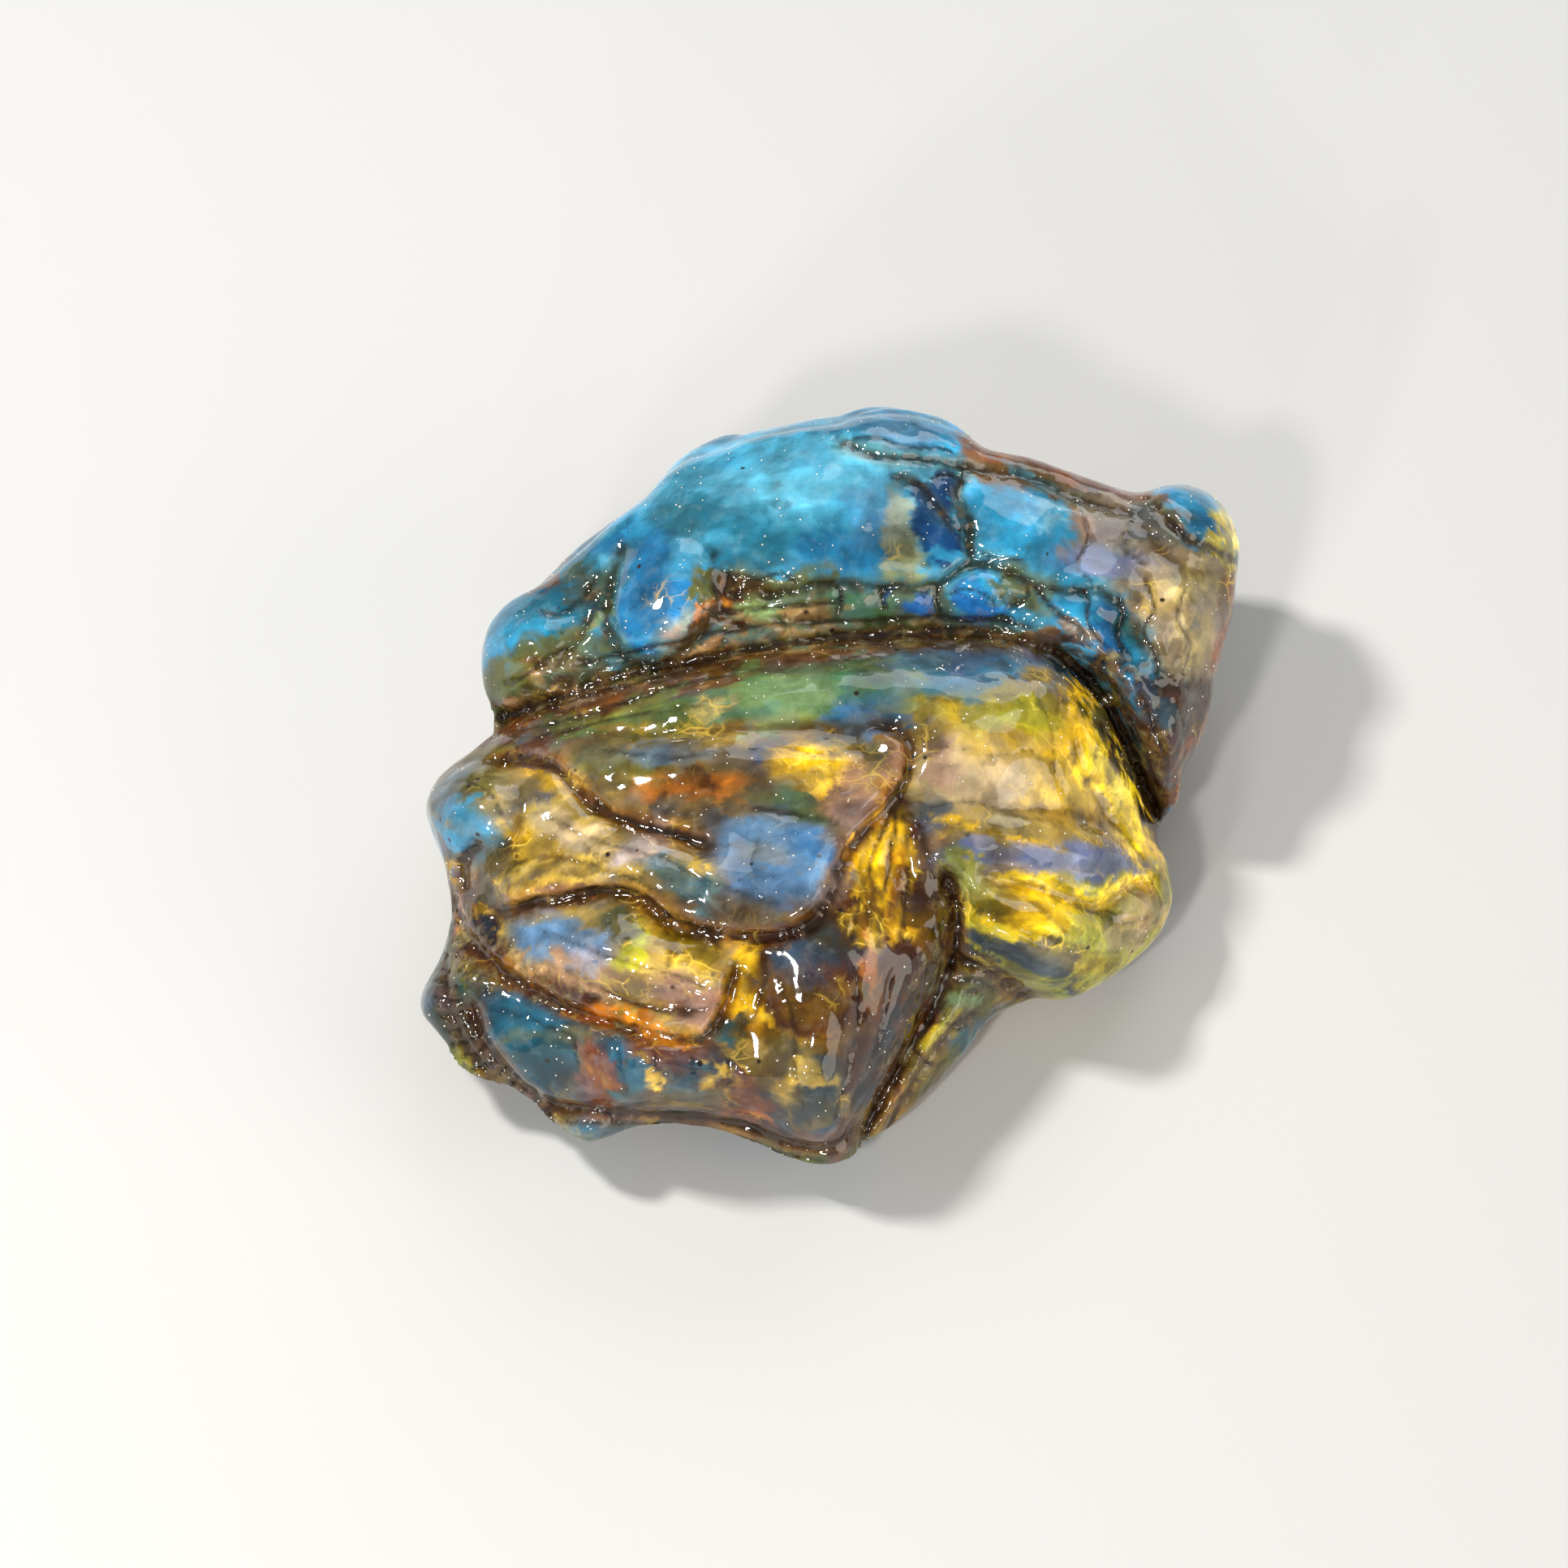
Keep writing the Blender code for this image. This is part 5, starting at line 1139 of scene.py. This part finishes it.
def hollowsOf(mesh, rounds):
    # how far each point lies below what is round it, once near and once further out
    places, out = pointsOf(mesh), normalsOf(mesh)
    pairs = np.empty(len(mesh.edges) * 2, np.int32)
    mesh.edges.foreach_get("vertices", pairs)
    pairs = pairs.reshape(-1, 2)
    one, other = np.concatenate([pairs, pairs[:, ::-1]]).T
    count = np.bincount(one, minlength=len(places))
    smooth, found = places, []
    for i in range(max(rounds)):
        smooth = np.stack([np.bincount(one, smooth[other, k], len(places)) / count
                           for k in range(3)], 1)
        if i + 1 in rounds:
            found.append(((smooth - places) * out).sum(1))
    return found


def tintClouds(places, seen, tone, low):
    # smoky clouds of other tones, drawn out along the flow
    for name, much, wavelength, stretch, above, side, seed in clouds.values():
        flow = np.stack([seen[:, 0] / stretch, seen[:, 1] * 1.15, places[:, 2] / stretch], 1)
        share = smoothStep(noiseAt(flow, wavelength * mm, seed), above, above + 0.28)
        share *= much * (low if side == "low" else 1 - low)
        tone = tone * (1 - share[:, None]) + linearTone(name) * share[:, None]
    return tone


def paint(mesh, axes, far, crust, dark, brown, golden):
    # tone, painted glow, veins, crust and dark lines of painted shade at each point
    places, out = pointsOf(mesh), normalsOf(mesh)
    warp = np.zeros((len(places), 2))
    for wavelength, much, seed in paintWarp:
        warp += much * np.stack([noiseAt(places, wavelength * mm, seed),
                                 noiseAt(places, wavelength * mm, seed + 5)], 1)
    shading = np.zeros(len(places))
    for size, stretch, shove, change, seed in flakes:
        cells = flakesAt(places / np.array([stretch, 1, 1]), size * mm, seed)
        warp += shove * cells[:, :2]
        shading += change * cells[:, 2]
    layers = []
    for patches, view in ((facePatches, axes), (farPatches, far)):
        seen = places @ view[:2].T + warp * mm
        tone = np.tile(linearTone(paintLook["ground"]), (len(places), 1))
        glow = np.full(len(places), paintLook["groundGlow"])
        low = np.zeros(len(places))
        for title, (name, much, soft, shine, shape) in patches.items():
            mask = (much * patchMask(seen, shape, soft))[:, None]
            tone = tone * (1 - mask) + linearTone(name) * mask
            glow = glow * (1 - mask[:, 0]) + shine * mask[:, 0]
            if title in paintLook["lowGrounds"]:
                low = mask[:, 0]
                tone = tintClouds(places, seen, tone, low)
        share = paintLook["cloudShare"]
        tone = tintClouds(places + cloudShift, seen, tone, low) * share + tone * (1 - share)
        layers.append((tone, glow, low))
    wavelength, seed, much = paintLook["sideNoise"]
    best = smoothStep(out @ axes[2] + much * noiseAt(places, wavelength, seed),
                      *paintLook["sideBlend"])
    (tone, glow, low), (farTone, farGlow, farLow) = layers
    tone = tone * best[:, None] + farTone * (1 - best)[:, None]
    glow = glow * best + farGlow * (1 - best)
    low = low * best + farLow * (1 - best)
    for name, halo in (("amber", brown * low), ("moss", brown * (1 - low)), ("gold", golden)):
        edge = (foldPaint["haloMuch"] * halo)[:, None]
        tone = tone * (1 - edge) + linearTone(name) * edge
    # the gold halo also gets painted glow
    glow += foldPaint["haloGlow"] * golden
    warm = (tone[:, 0] - tone[:, 2]) / (tone[:, 0] + tone[:, 2])
    vein = np.clip(smoothStep(warm, *paintLook["warmth"]), foldPaint["leastVein"], 1)
    vein *= smoothStep(tone[:, 0], *paintLook["redness"])
    plain, added = paintLook["shadeGain"]
    tone *= (1 + shading * (plain + added * vein))[:, None]
    # painted shade in the hollows and creases, a painted highlight on the ridges, and less glow
    # there
    near, wide = hollowsOf(mesh, relief["rounds"])
    crease = smoothStep(near, relief["creaseFrom"], relief["creaseTo"]) * (1 - golden)
    ridge = smoothStep(-near, relief["creaseFrom"], relief["creaseTo"])
    valley = smoothStep(wide, relief["valleyFrom"], relief["valleyTo"])
    valley *= 1 - paintLook["valleyGold"] * golden
    tone *= 1 - valley[:, None] * (1 - np.array(relief["valleyShadeTone"]))
    tone *= (1 + relief["ridgeHighlight"] * (ridge - crease))[:, None]
    glow *= (1 - paintLook["valleyShadeDim"] * valley) * (1 - paintLook["creaseShadeDim"] * crease)
    uneven = smoothStep(noiseAt(places, *paintLook["uneven"]), -0.2, 0.35)
    dark = np.maximum(dark, relief["creaseShade"] * crease * uneven * smoothStep(valley, 0.2, 0.8))
    seen = places @ axes[:2].T
    for centre, radii, much in veinSpots:
        share = much * np.clip(1.6 - 1.6 * spotShare(seen, centre, radii, 0), 0, 1)
        vein = np.maximum(vein, share * best)
    # the underside gets crust, and its glow is dimmed as painted shade
    under = smoothStep(-out[:, 2], *paintLook["underFrom"])
    wavelength, seed, much = paintLook["underCrust"]
    uneven = smoothStep(noiseAt(places, wavelength, seed), -0.3, 0.4)
    crust = np.maximum(crust, much * under * uneven)
    glow *= 1 - paintLook["underShadeDim"] * under
    colour = mesh.attributes.new("tone", "FLOAT_COLOR", "POINT")
    colour.data.foreach_set("color", np.c_[tone, np.ones(len(tone))].astype(np.float32).ravel())
    for name, values in (("glow", glow), ("crust", crust), ("dark", dark), ("vein", vein)):
        layer = mesh.attributes.new(name, "FLOAT", "POINT")
        layer.data.foreach_set("value", values.astype(np.float32))


def settle(mesh):
    places = pointsOf(mesh)
    places[:, :2] -= np.array(nugget["boxMiddle"]) * mm
    places[:, 2] = np.where(places[:, 2] < nugget["flatWithin"], 0, places[:, 2])
    movePoints(mesh, places)


def holdFeet(mesh):
    # fine work may not push a worn foot below the table
    places = pointsOf(mesh)
    places[:, 2] = np.maximum(places[:, 2], 0)
    movePoints(mesh, places)


def thinOut(obj, most):
    obj.data.calc_loop_triangles()
    count = len(obj.data.loop_triangles)
    if count <= most:
        return
    modifier = obj.modifiers.new("fewer faces", "DECIMATE")
    modifier.ratio = most / count
    modifier.use_collapse_triangulate = True
    bakeModifiers(obj)


def makeNugget():
    front = viewAxes(0, nugget["viewElevation"])
    far = viewAxes(math.pi, nugget["farElevation"])
    bpy.ops.mesh.primitive_ico_sphere_add(subdivisions=7, radius=1)
    obj = bpy.context.object
    obj.name = "amberNugget"
    movePoints(obj.data, stretchToRim(pointsOf(obj.data), front))
    remesh(obj, nugget["roughCell"])
    sculpt(obj.data, front, frontLobes, frontFolds)
    sculpt(obj.data, far, farLobes, farFolds, awayFrom=front)
    swell(obj.data, nugget["swells"])
    levelUnderside(obj.data)
    print("nugget: lobes and folds")
    remesh(obj, nugget["fineCell"])
    thinOut(obj, nugget["mostTriangles"])
    swell(obj.data, nugget["ripples"])
    marks = carveFine(obj.data, front, far)
    holdFeet(obj.data)
    print("nugget: fine creases and crust,", len(obj.data.vertices), "points")
    paint(obj.data, front, far, *marks)
    settle(obj.data)
    obj.data.shade_smooth()
    print("nugget: painted")
    return obj


# Shader helpers
def newMaterial(name):
    material = bpy.data.materials.new(name)
    material.use_nodes = True
    tree = material.node_tree
    return material, tree, tree.nodes["Principled BSDF"]


def addNode(tree, kind, **values):
    node = tree.nodes.new(kind)
    for key, value in values.items():
        if hasattr(node, key):
            setattr(node, key, value)
        else:
            node.inputs[key].default_value = value
    return node


def mixColour(tree, how, share, one, two):
    node = tree.nodes.new("ShaderNodeMix")
    node.data_type = "RGBA"
    node.blend_type = how
    for socket, value in ((node.inputs[0], share), (node.inputs[6], one), (node.inputs[7], two)):
        if isinstance(value, bpy.types.NodeSocket):
            tree.links.new(value, socket)
        else:
            socket.default_value = value
    return node.outputs[2]


def calculate(tree, how, one, two=None, clamp=False):
    node = tree.nodes.new("ShaderNodeMath")
    node.operation = how
    node.use_clamp = clamp
    for socket, value in zip(node.inputs, (one, two)):
        if isinstance(value, bpy.types.NodeSocket):
            tree.links.new(value, socket)
        elif value is not None:
            socket.default_value = value
    return node.outputs[0]


def ramp(tree, value, low, high, fromLow=0.0, fromHigh=1.0):
    node = tree.nodes.new("ShaderNodeMapRange")
    tree.links.new(value, node.inputs["Value"])
    node.inputs["From Min"].default_value = fromLow
    node.inputs["From Max"].default_value = fromHigh
    node.inputs["To Min"].default_value = low
    node.inputs["To Max"].default_value = high
    return node.outputs["Result"]


def groupSocket(group, name, way, kind, value=None):
    socket = group.interface.new_socket(name=name, in_out=way, socket_type=kind)
    if value is not None:
        socket.default_value = value


def makeMottle():
    # broken cloudiness: a noise of noises, from 0 to 1
    group = bpy.data.node_groups.new("mottle", "ShaderNodeTree")
    groupSocket(group, "Scale", "INPUT", "NodeSocketFloat", 200.0)
    groupSocket(group, "Contrast", "INPUT", "NodeSocketFloat", 1.0)
    groupSocket(group, "Detail", "INPUT", "NodeSocketFloat", 3.0)
    groupSocket(group, "Value", "OUTPUT", "NodeSocketFloat")
    ins = group.nodes.new("NodeGroupInput")
    outs = group.nodes.new("NodeGroupOutput")
    place = group.nodes.new("ShaderNodeTexCoord")
    cloud = addNode(group, "ShaderNodeTexNoise", Roughness=0.6, Distortion=0.6)
    group.links.new(place.outputs["Object"], cloud.inputs["Vector"])
    for name in ("Scale", "Detail"):
        group.links.new(ins.outputs[name], cloud.inputs[name])
    away = calculate(group, "SUBTRACT", cloud.outputs["Fac"], 0.5)
    away = calculate(group, "MULTIPLY", away, ins.outputs["Contrast"])
    group.links.new(calculate(group, "ADD", away, 0.5, clamp=True), outs.inputs["Value"])
    return group


def makeFilaments():
    # thin crooked cracks, along the edges of bent cells
    group = bpy.data.node_groups.new("filaments", "ShaderNodeTree")
    groupSocket(group, "Scale", "INPUT", "NodeSocketFloat", 300.0)
    groupSocket(group, "Thinness", "INPUT", "NodeSocketFloat", 20.0)
    groupSocket(group, "Bend", "INPUT", "NodeSocketFloat", 0.002)
    groupSocket(group, "Value", "OUTPUT", "NodeSocketFloat")
    ins = group.nodes.new("NodeGroupInput")
    outs = group.nodes.new("NodeGroupOutput")
    place = group.nodes.new("ShaderNodeTexCoord").outputs["Object"]
    drawn = addNode(group, "ShaderNodeVectorMath", operation="MULTIPLY")
    drawn.inputs[1].default_value = (0.62, 1.0, 0.9)    # longer cells across
    cloud = addNode(group, "ShaderNodeTexNoise", Detail=2.0, Roughness=0.6)
    bent = addNode(group, "ShaderNodeVectorMath", operation="SCALE")
    moved = addNode(group, "ShaderNodeVectorMath", operation="ADD")
    cells = addNode(group, "ShaderNodeTexVoronoi", feature="DISTANCE_TO_EDGE")
    away = calculate(group, "MULTIPLY", cells.outputs["Distance"], ins.outputs["Thinness"])
    joins = [
        (place, drawn.inputs[0]),
        (place, cloud.inputs["Vector"]),
        (ins.outputs["Scale"], cloud.inputs["Scale"]),
        (cloud.outputs["Color"], bent.inputs[0]),
        (ins.outputs["Bend"], bent.inputs["Scale"]),
        (drawn.outputs[0], moved.inputs[0]),
        (bent.outputs[0], moved.inputs[1]),
        (moved.outputs[0], cells.inputs["Vector"]),
        (ins.outputs["Scale"], cells.inputs["Scale"]),
        (calculate(group, "SUBTRACT", 1.0, away, clamp=True), outs.inputs["Value"]),
    ]
    for source, target in joins:
        group.links.new(source, target)
    return group


def useGroup(tree, group, **values):
    node = tree.nodes.new("ShaderNodeGroup")
    node.node_tree = group
    for key, value in values.items():
        node.inputs[key].default_value = value
    return node.outputs[0]


def attribute(tree, name):
    node = addNode(tree, "ShaderNodeAttribute", attribute_name=name)
    return node.outputs["Color"] if name == "tone" else node.outputs["Fac"]


amberLook = {
    "ior": 1.54,
    "transmission": 0.34,
    "absorption": (0.86, 0.54, 0.16, 1),
    "absorptionDensity": 105.0,
    "veinTone": (1.0, 0.66, 0.08, 1),
    # near black of the dark flecks, also used for the painted shade lines in the creases
    "fleck": (0.02, 0.012, 0.008, 1),
    "crustTones": [(0.0, (0.012, 0.006, 0.003, 1)), (0.30, (0.075, 0.030, 0.009, 1)),
                   (0.52, (0.24, 0.115, 0.032, 1)), (0.75, (0.17, 0.15, 0.045, 1)),
                   (1.0, (0.50, 0.40, 0.16, 1))],
    "deepen": 1.22,
    "glow": 1.35,
    # cloudy noises: how fine, how sharp and how detailed
    "smoke": dict(Scale=190.0, Contrast=2.6, Detail=5.0),
    "wisps": dict(Scale=640.0, Contrast=2.6),
    "patchy": dict(Scale=150.0, Contrast=5.0, Detail=2.0),
    "grit": dict(Scale=820.0, Contrast=3.0),
    "cracks": dict(Scale=330.0, Thinness=26.0, Bend=0.0022),
    "threads": dict(Scale=620.0, Detail=1.0, Roughness=0.6),
    "threadWidth": 0.022,
    "dots": dict(Scale=420.0, Randomness=1.0),
    "dotSize": (0.06, 0.13),             # all dark within the first, all clear beyond the second
    "dotsAbove": 0.66,
    "smokeTone": (0.38, 0.36, 0.36, 1),
    "wispTone": (0.62, 0.66, 0.60, 1),
    "crustShade": 0.35,                  # how much of the amber's own tone is in the crust's
    "gloss": (0.03, 0.10),
    "bump": dict(Strength=0.7, Distance=0.00015),
    "bumpGrains": dict(Scale=1100.0, Detail=1.0),
}


def makeAmber(mottle, filaments):
    material, tree, shader = newMaterial("blueAmber")
    link = tree.links.new
    names = ("tone", "glow", "crust", "dark", "vein")
    tone, glow, crust, dark, warm = (attribute(tree, name) for name in names)
    smoke, wisps, patchy, grit = (useGroup(tree, mottle, **amberLook[name])
                                  for name in ("smoke", "wisps", "patchy", "grit"))
    place = tree.nodes.new("ShaderNodeTexCoord").outputs["Object"]
    # smoky changes of shade
    shade = mixColour(tree, "MULTIPLY", ramp(tree, smoke, 0.75, 0.0), tone,
                      amberLook["smokeTone"])
    shade = mixColour(tree, "SCREEN", ramp(tree, wisps, -0.12, 0.10), shade,
                      amberLook["wispTone"])
    deeper = addNode(tree, "ShaderNodeGamma", Gamma=amberLook["deepen"])
    link(shade, deeper.inputs["Color"])
    shade = deeper.outputs[0]
    # golden filaments, many where the amber glows and few elsewhere
    cracks = useGroup(tree, filaments, **amberLook["cracks"])
    threads = addNode(tree, "ShaderNodeTexNoise", **amberLook["threads"])
    link(place, threads.inputs["Vector"])
    off = calculate(tree, "ABSOLUTE", calculate(tree, "SUBTRACT", threads.outputs["Fac"], 0.5))
    finer = ramp(tree, off, 0.6, 0.0, 0.0, amberLook["threadWidth"])
    thin = calculate(tree, "MAXIMUM", cracks, finer)
    sparse = ramp(tree, patchy, 0.0, 1.0, 0.58, 1.0)
    vein = calculate(tree, "MULTIPLY", thin, sparse)
    vein = calculate(tree, "MULTIPLY", vein, ramp(tree, warm, 0.0, 0.6))
    shade = mixColour(tree, "MIX", vein, shade, amberLook["veinTone"])
    # dark flecks
    dots = addNode(tree, "ShaderNodeTexVoronoi", **amberLook["dots"])
    link(place, dots.inputs["Vector"])
    fleck = ramp(tree, dots.outputs["Distance"], 1.0, 0.0, *amberLook["dotSize"])
    some = calculate(tree, "GREATER_THAN", patchy, amberLook["dotsAbove"])
    fleck = calculate(tree, "MULTIPLY", fleck, some)
    shade = mixColour(tree, "MIX", fleck, shade, amberLook["fleck"])
    # crust
    crustTone = tree.nodes.new("ShaderNodeValToRGB")
    bands = crustTone.color_ramp
    while len(bands.elements) < len(amberLook["crustTones"]):
        bands.elements.new(0.5)
    for element, (at, colour) in zip(bands.elements, amberLook["crustTones"]):
        element.position = at
        element.color = colour
    link(grit, crustTone.inputs["Fac"])
    dirt = mixColour(tree, "MIX", amberLook["crustShade"], crustTone.outputs["Color"], shade)
    edge = calculate(tree, "ADD", crust, ramp(tree, wisps, -0.3, 0.3))
    crustShare = ramp(tree, edge, 0.0, 1.0, 0.38, 0.62)
    base = mixColour(tree, "MIX", crustShare, shade, dirt)
    # painted shade: near black along the crease lines
    darkShare = calculate(tree, "MULTIPLY", dark, ramp(tree, wisps, 1.0, 0.75))
    base = mixColour(tree, "MIX", darkShare, base, amberLook["fleck"])
    link(base, shader.inputs["Base Color"])
    # painted glow standing in for light shining through the amber, brightest along the filaments
    bright = calculate(tree, "MULTIPLY", thin, warm)
    lit = glow
    for share, low, high in ((smoke, 0.35, 1.3), (bright, 0.85, 1.6), (crustShare, 1.0, 0.05),
                             (dark, 1.0, 0.0)):
        lit = calculate(tree, "MULTIPLY", lit, ramp(tree, share, low, high))
    lit = calculate(tree, "MULTIPLY", lit, amberLook["glow"])
    inner = mixColour(tree, "MIX", lit, (0, 0, 0, 1), shade)
    link(inner, shader.inputs["Emission Color"])
    shader.inputs["Emission Strength"].default_value = 1.0
    # gloss
    gloss = ramp(tree, smoke, *amberLook["gloss"])
    rough = calculate(tree, "ADD", gloss, calculate(tree, "MULTIPLY", crustShare, 0.04))
    link(rough, shader.inputs["Roughness"])
    shader.inputs["Metallic"].default_value = 0.0
    shader.inputs["IOR"].default_value = amberLook["ior"]
    shader.inputs["Transmission Weight"].default_value = amberLook["transmission"]
    # relief finer than the mesh
    grains = addNode(tree, "ShaderNodeTexNoise", **amberLook["bumpGrains"])
    link(place, grains.inputs["Vector"])
    relief = calculate(tree, "MULTIPLY", grains.outputs["Fac"], crust)
    bump = addNode(tree, "ShaderNodeBump", **amberLook["bump"])
    link(relief, bump.inputs["Height"])
    link(bump.outputs["Normal"], shader.inputs["Normal"])
    # what is lost on the way through
    volume = addNode(tree, "ShaderNodeVolumeAbsorption", Color=amberLook["absorption"],
                     Density=amberLook["absorptionDensity"])
    link(volume.outputs[0], tree.nodes["Material Output"].inputs["Volume"])
    material.cycles.emission_sampling = "NONE"    # its glow is too faint to light other things
    return material


# Dust: pale grains stuck to the amber, made of mesh
dust = {
    "density": 240000.0,     # most grains in a square metre
    "smallest": 0.02 * mm,
    "largest": 0.10 * mm,
    "seed": 7,
    "steepest": 0.05,        # grains lie only where the surface looks up by more than this
    "tones": ((0.86, 0.84, 0.78, 1), (0.62, 0.54, 0.40, 1)),
}


def makeDustMaterial(mottle):
    material, tree, shader = newMaterial("dustGrain")
    pale = useGroup(tree, mottle, Scale=500.0, Contrast=2.0)
    tone = mixColour(tree, "MIX", pale, *dust["tones"])
    tree.links.new(tone, shader.inputs["Base Color"])
    tree.links.new(ramp(tree, pale, 0.35, 0.6), shader.inputs["Roughness"])
    return material


def dustTree(material):
    tree = bpy.data.node_groups.new("scatterDust", "GeometryNodeTree")
    tree.interface.new_socket(name="Geometry", in_out="INPUT", socket_type="NodeSocketGeometry")
    for name in ("Density", "Smallest", "Largest"):
        tree.interface.new_socket(name=name, in_out="INPUT", socket_type="NodeSocketFloat")
    tree.interface.new_socket(name="Seed", in_out="INPUT", socket_type="NodeSocketInt")
    tree.interface.new_socket(name="Geometry", in_out="OUTPUT", socket_type="NodeSocketGeometry")
    ins = tree.nodes.new("NodeGroupInput")
    outs = tree.nodes.new("NodeGroupOutput")
    link = tree.links.new
    normal = tree.nodes.new("GeometryNodeInputNormal")
    apart = tree.nodes.new("ShaderNodeSeparateXYZ")
    link(normal.outputs[0], apart.inputs[0])
    upward = addNode(tree, "ShaderNodeMath", operation="GREATER_THAN")
    link(apart.outputs["Z"], upward.inputs[0])
    upward.inputs[1].default_value = dust["steepest"]
    scatter = addNode(tree, "GeometryNodeDistributePointsOnFaces", distribute_method="RANDOM")
    link(ins.outputs["Geometry"], scatter.inputs["Mesh"])
    link(upward.outputs[0], scatter.inputs["Selection"])
    for name in ("Density", "Seed"):
        link(ins.outputs[name], scatter.inputs[name])
    grain = addNode(tree, "GeometryNodeMeshIcoSphere", Radius=1.0, Subdivisions=1)
    size = addNode(tree, "FunctionNodeRandomValue", data_type="FLOAT")
    link(ins.outputs["Smallest"], size.inputs[2])
    link(ins.outputs["Largest"], size.inputs[3])
    link(ins.outputs["Seed"], size.inputs["Seed"])
    place = tree.nodes.new("GeometryNodeInstanceOnPoints")
    link(scatter.outputs["Points"], place.inputs["Points"])
    link(grain.outputs["Mesh"], place.inputs["Instance"])
    link(scatter.outputs["Rotation"], place.inputs["Rotation"])
    link(size.outputs[1], place.inputs["Scale"])
    real = tree.nodes.new("GeometryNodeRealizeInstances")
    link(place.outputs[0], real.inputs[0])
    coat = tree.nodes.new("GeometryNodeSetMaterial")
    coat.inputs["Material"].default_value = material
    link(real.outputs[0], coat.inputs["Geometry"])
    link(coat.outputs[0], outs.inputs["Geometry"])
    return tree


def makeDust(carrier, material):
    obj = bpy.data.objects.new("dustGrains", carrier.data.copy())
    bpy.context.scene.collection.objects.link(obj)
    modifier = obj.modifiers.new("scatter", "NODES")
    modifier.node_group = dustTree(material)
    values = {"Density": dust["density"], "Smallest": dust["smallest"],
              "Largest": dust["largest"], "Seed": dust["seed"]}
    for item in modifier.node_group.interface.items_tree:
        if item.in_out == "INPUT" and item.name in values:
            modifier[item.identifier] = values[item.name]
    bakeModifiers(obj)
    return obj


# Stage: floor, lights and camera
stage = {
    "floorSize": 3.0,
    "floorTone": (0.56, 0.555, 0.54, 1),
    "world": (0.86, 0.90, 0.95, 1),
    "worldStrength": 0.24,
    # place, size, power and colour
    "lights": {
        "keyBox": ((-0.30, 0.06, 0.46), 0.07, 2.7, (1.0, 0.98, 0.95)),
        "frontBox": ((-0.16, -0.44, 0.40), 0.05, 1.5, (1.0, 0.98, 0.96)),
        "lowBox": ((-0.20, -0.50, 0.24), 0.04, 0.8, (1.0, 0.98, 0.96)),
        "tableBox": ((-0.10, -0.56, 0.13), 0.03, 0.35, (1.0, 0.98, 0.96)),
        "rightBox": ((0.50, -0.20, 0.20), 0.40, 1.5, (1.0, 0.93, 0.82)),
        "backBox": ((0.20, 0.62, 0.42), 0.55, 2.2, (0.90, 0.95, 1.0)),
    },
    "lightsAim": (0, 0, 0.01),
    "floorRoughness": 0.7,
    "cameraDistance": 0.70,
    "frameWidth": 0.1288,      # what the frame spans at the nugget, in metres
    "lookAt": (-2.93, 0.93, 14.0),   # across, up and towards the eye, in millimetres
}


def makeStage():
    bpy.ops.mesh.primitive_plane_add(size=stage["floorSize"])
    floor = bpy.context.object
    floor.name = "floor"
    material, tree, shader = newMaterial("paleFloor")
    shader.inputs["Base Color"].default_value = stage["floorTone"]
    shader.inputs["Roughness"].default_value = stage["floorRoughness"]
    floor.data.materials.append(material)
    world = bpy.data.worlds.new("studio")
    world.use_nodes = True
    background = world.node_tree.nodes["Background"]
    background.inputs["Color"].default_value = stage["world"]
    background.inputs["Strength"].default_value = stage["worldStrength"]
    bpy.context.scene.world = world
    for name, (place, size, power, colour) in stage["lights"].items():
        light = bpy.data.lights.new(name, "AREA")
        light.size = size
        light.energy = power
        light.color = colour
        obj = bpy.data.objects.new(name, light)
        obj.location = place
        back = Vector(place) - Vector(stage["lightsAim"])
        obj.rotation_euler = back.to_track_quat("Z", "Y").to_euler()
        bpy.context.scene.collection.objects.link(obj)


def makeCamera():
    axes = viewAxes(0, nugget["viewElevation"])
    across, up, towards = stage["lookAt"]
    target = Vector(np.array([across, up, towards]) * mm @ axes)
    target -= Vector((*nugget["boxMiddle"], 0)) * mm
    lens = bpy.data.cameras.new("camera")
    lens.sensor_width = 36.0
    lens.lens = lens.sensor_width * stage["cameraDistance"] / stage["frameWidth"]
    lens.clip_start = 0.01
    obj = bpy.data.objects.new("camera", lens)
    back = Vector(axes[2])
    obj.location = target + back * stage["cameraDistance"]
    obj.rotation_euler = back.to_track_quat("Z", "Y").to_euler()
    bpy.context.scene.collection.objects.link(obj)
    bpy.context.scene.camera = obj


bpy.context.scene.view_settings.view_transform = "Standard"
makeStage()
makeCamera()
print("stage: floor, lights and camera")

mottle = makeMottle()
filaments = makeFilaments()
amber = makeNugget()
amber.data.materials.clear()
amber.data.materials.append(makeAmber(mottle, filaments))
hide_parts(nodeName)
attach(amber, "root")

grains = makeDust(amber, makeDustMaterial(mottle))
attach(grains, "root")
print("dust:", len(grains.data.polygons), "faces")
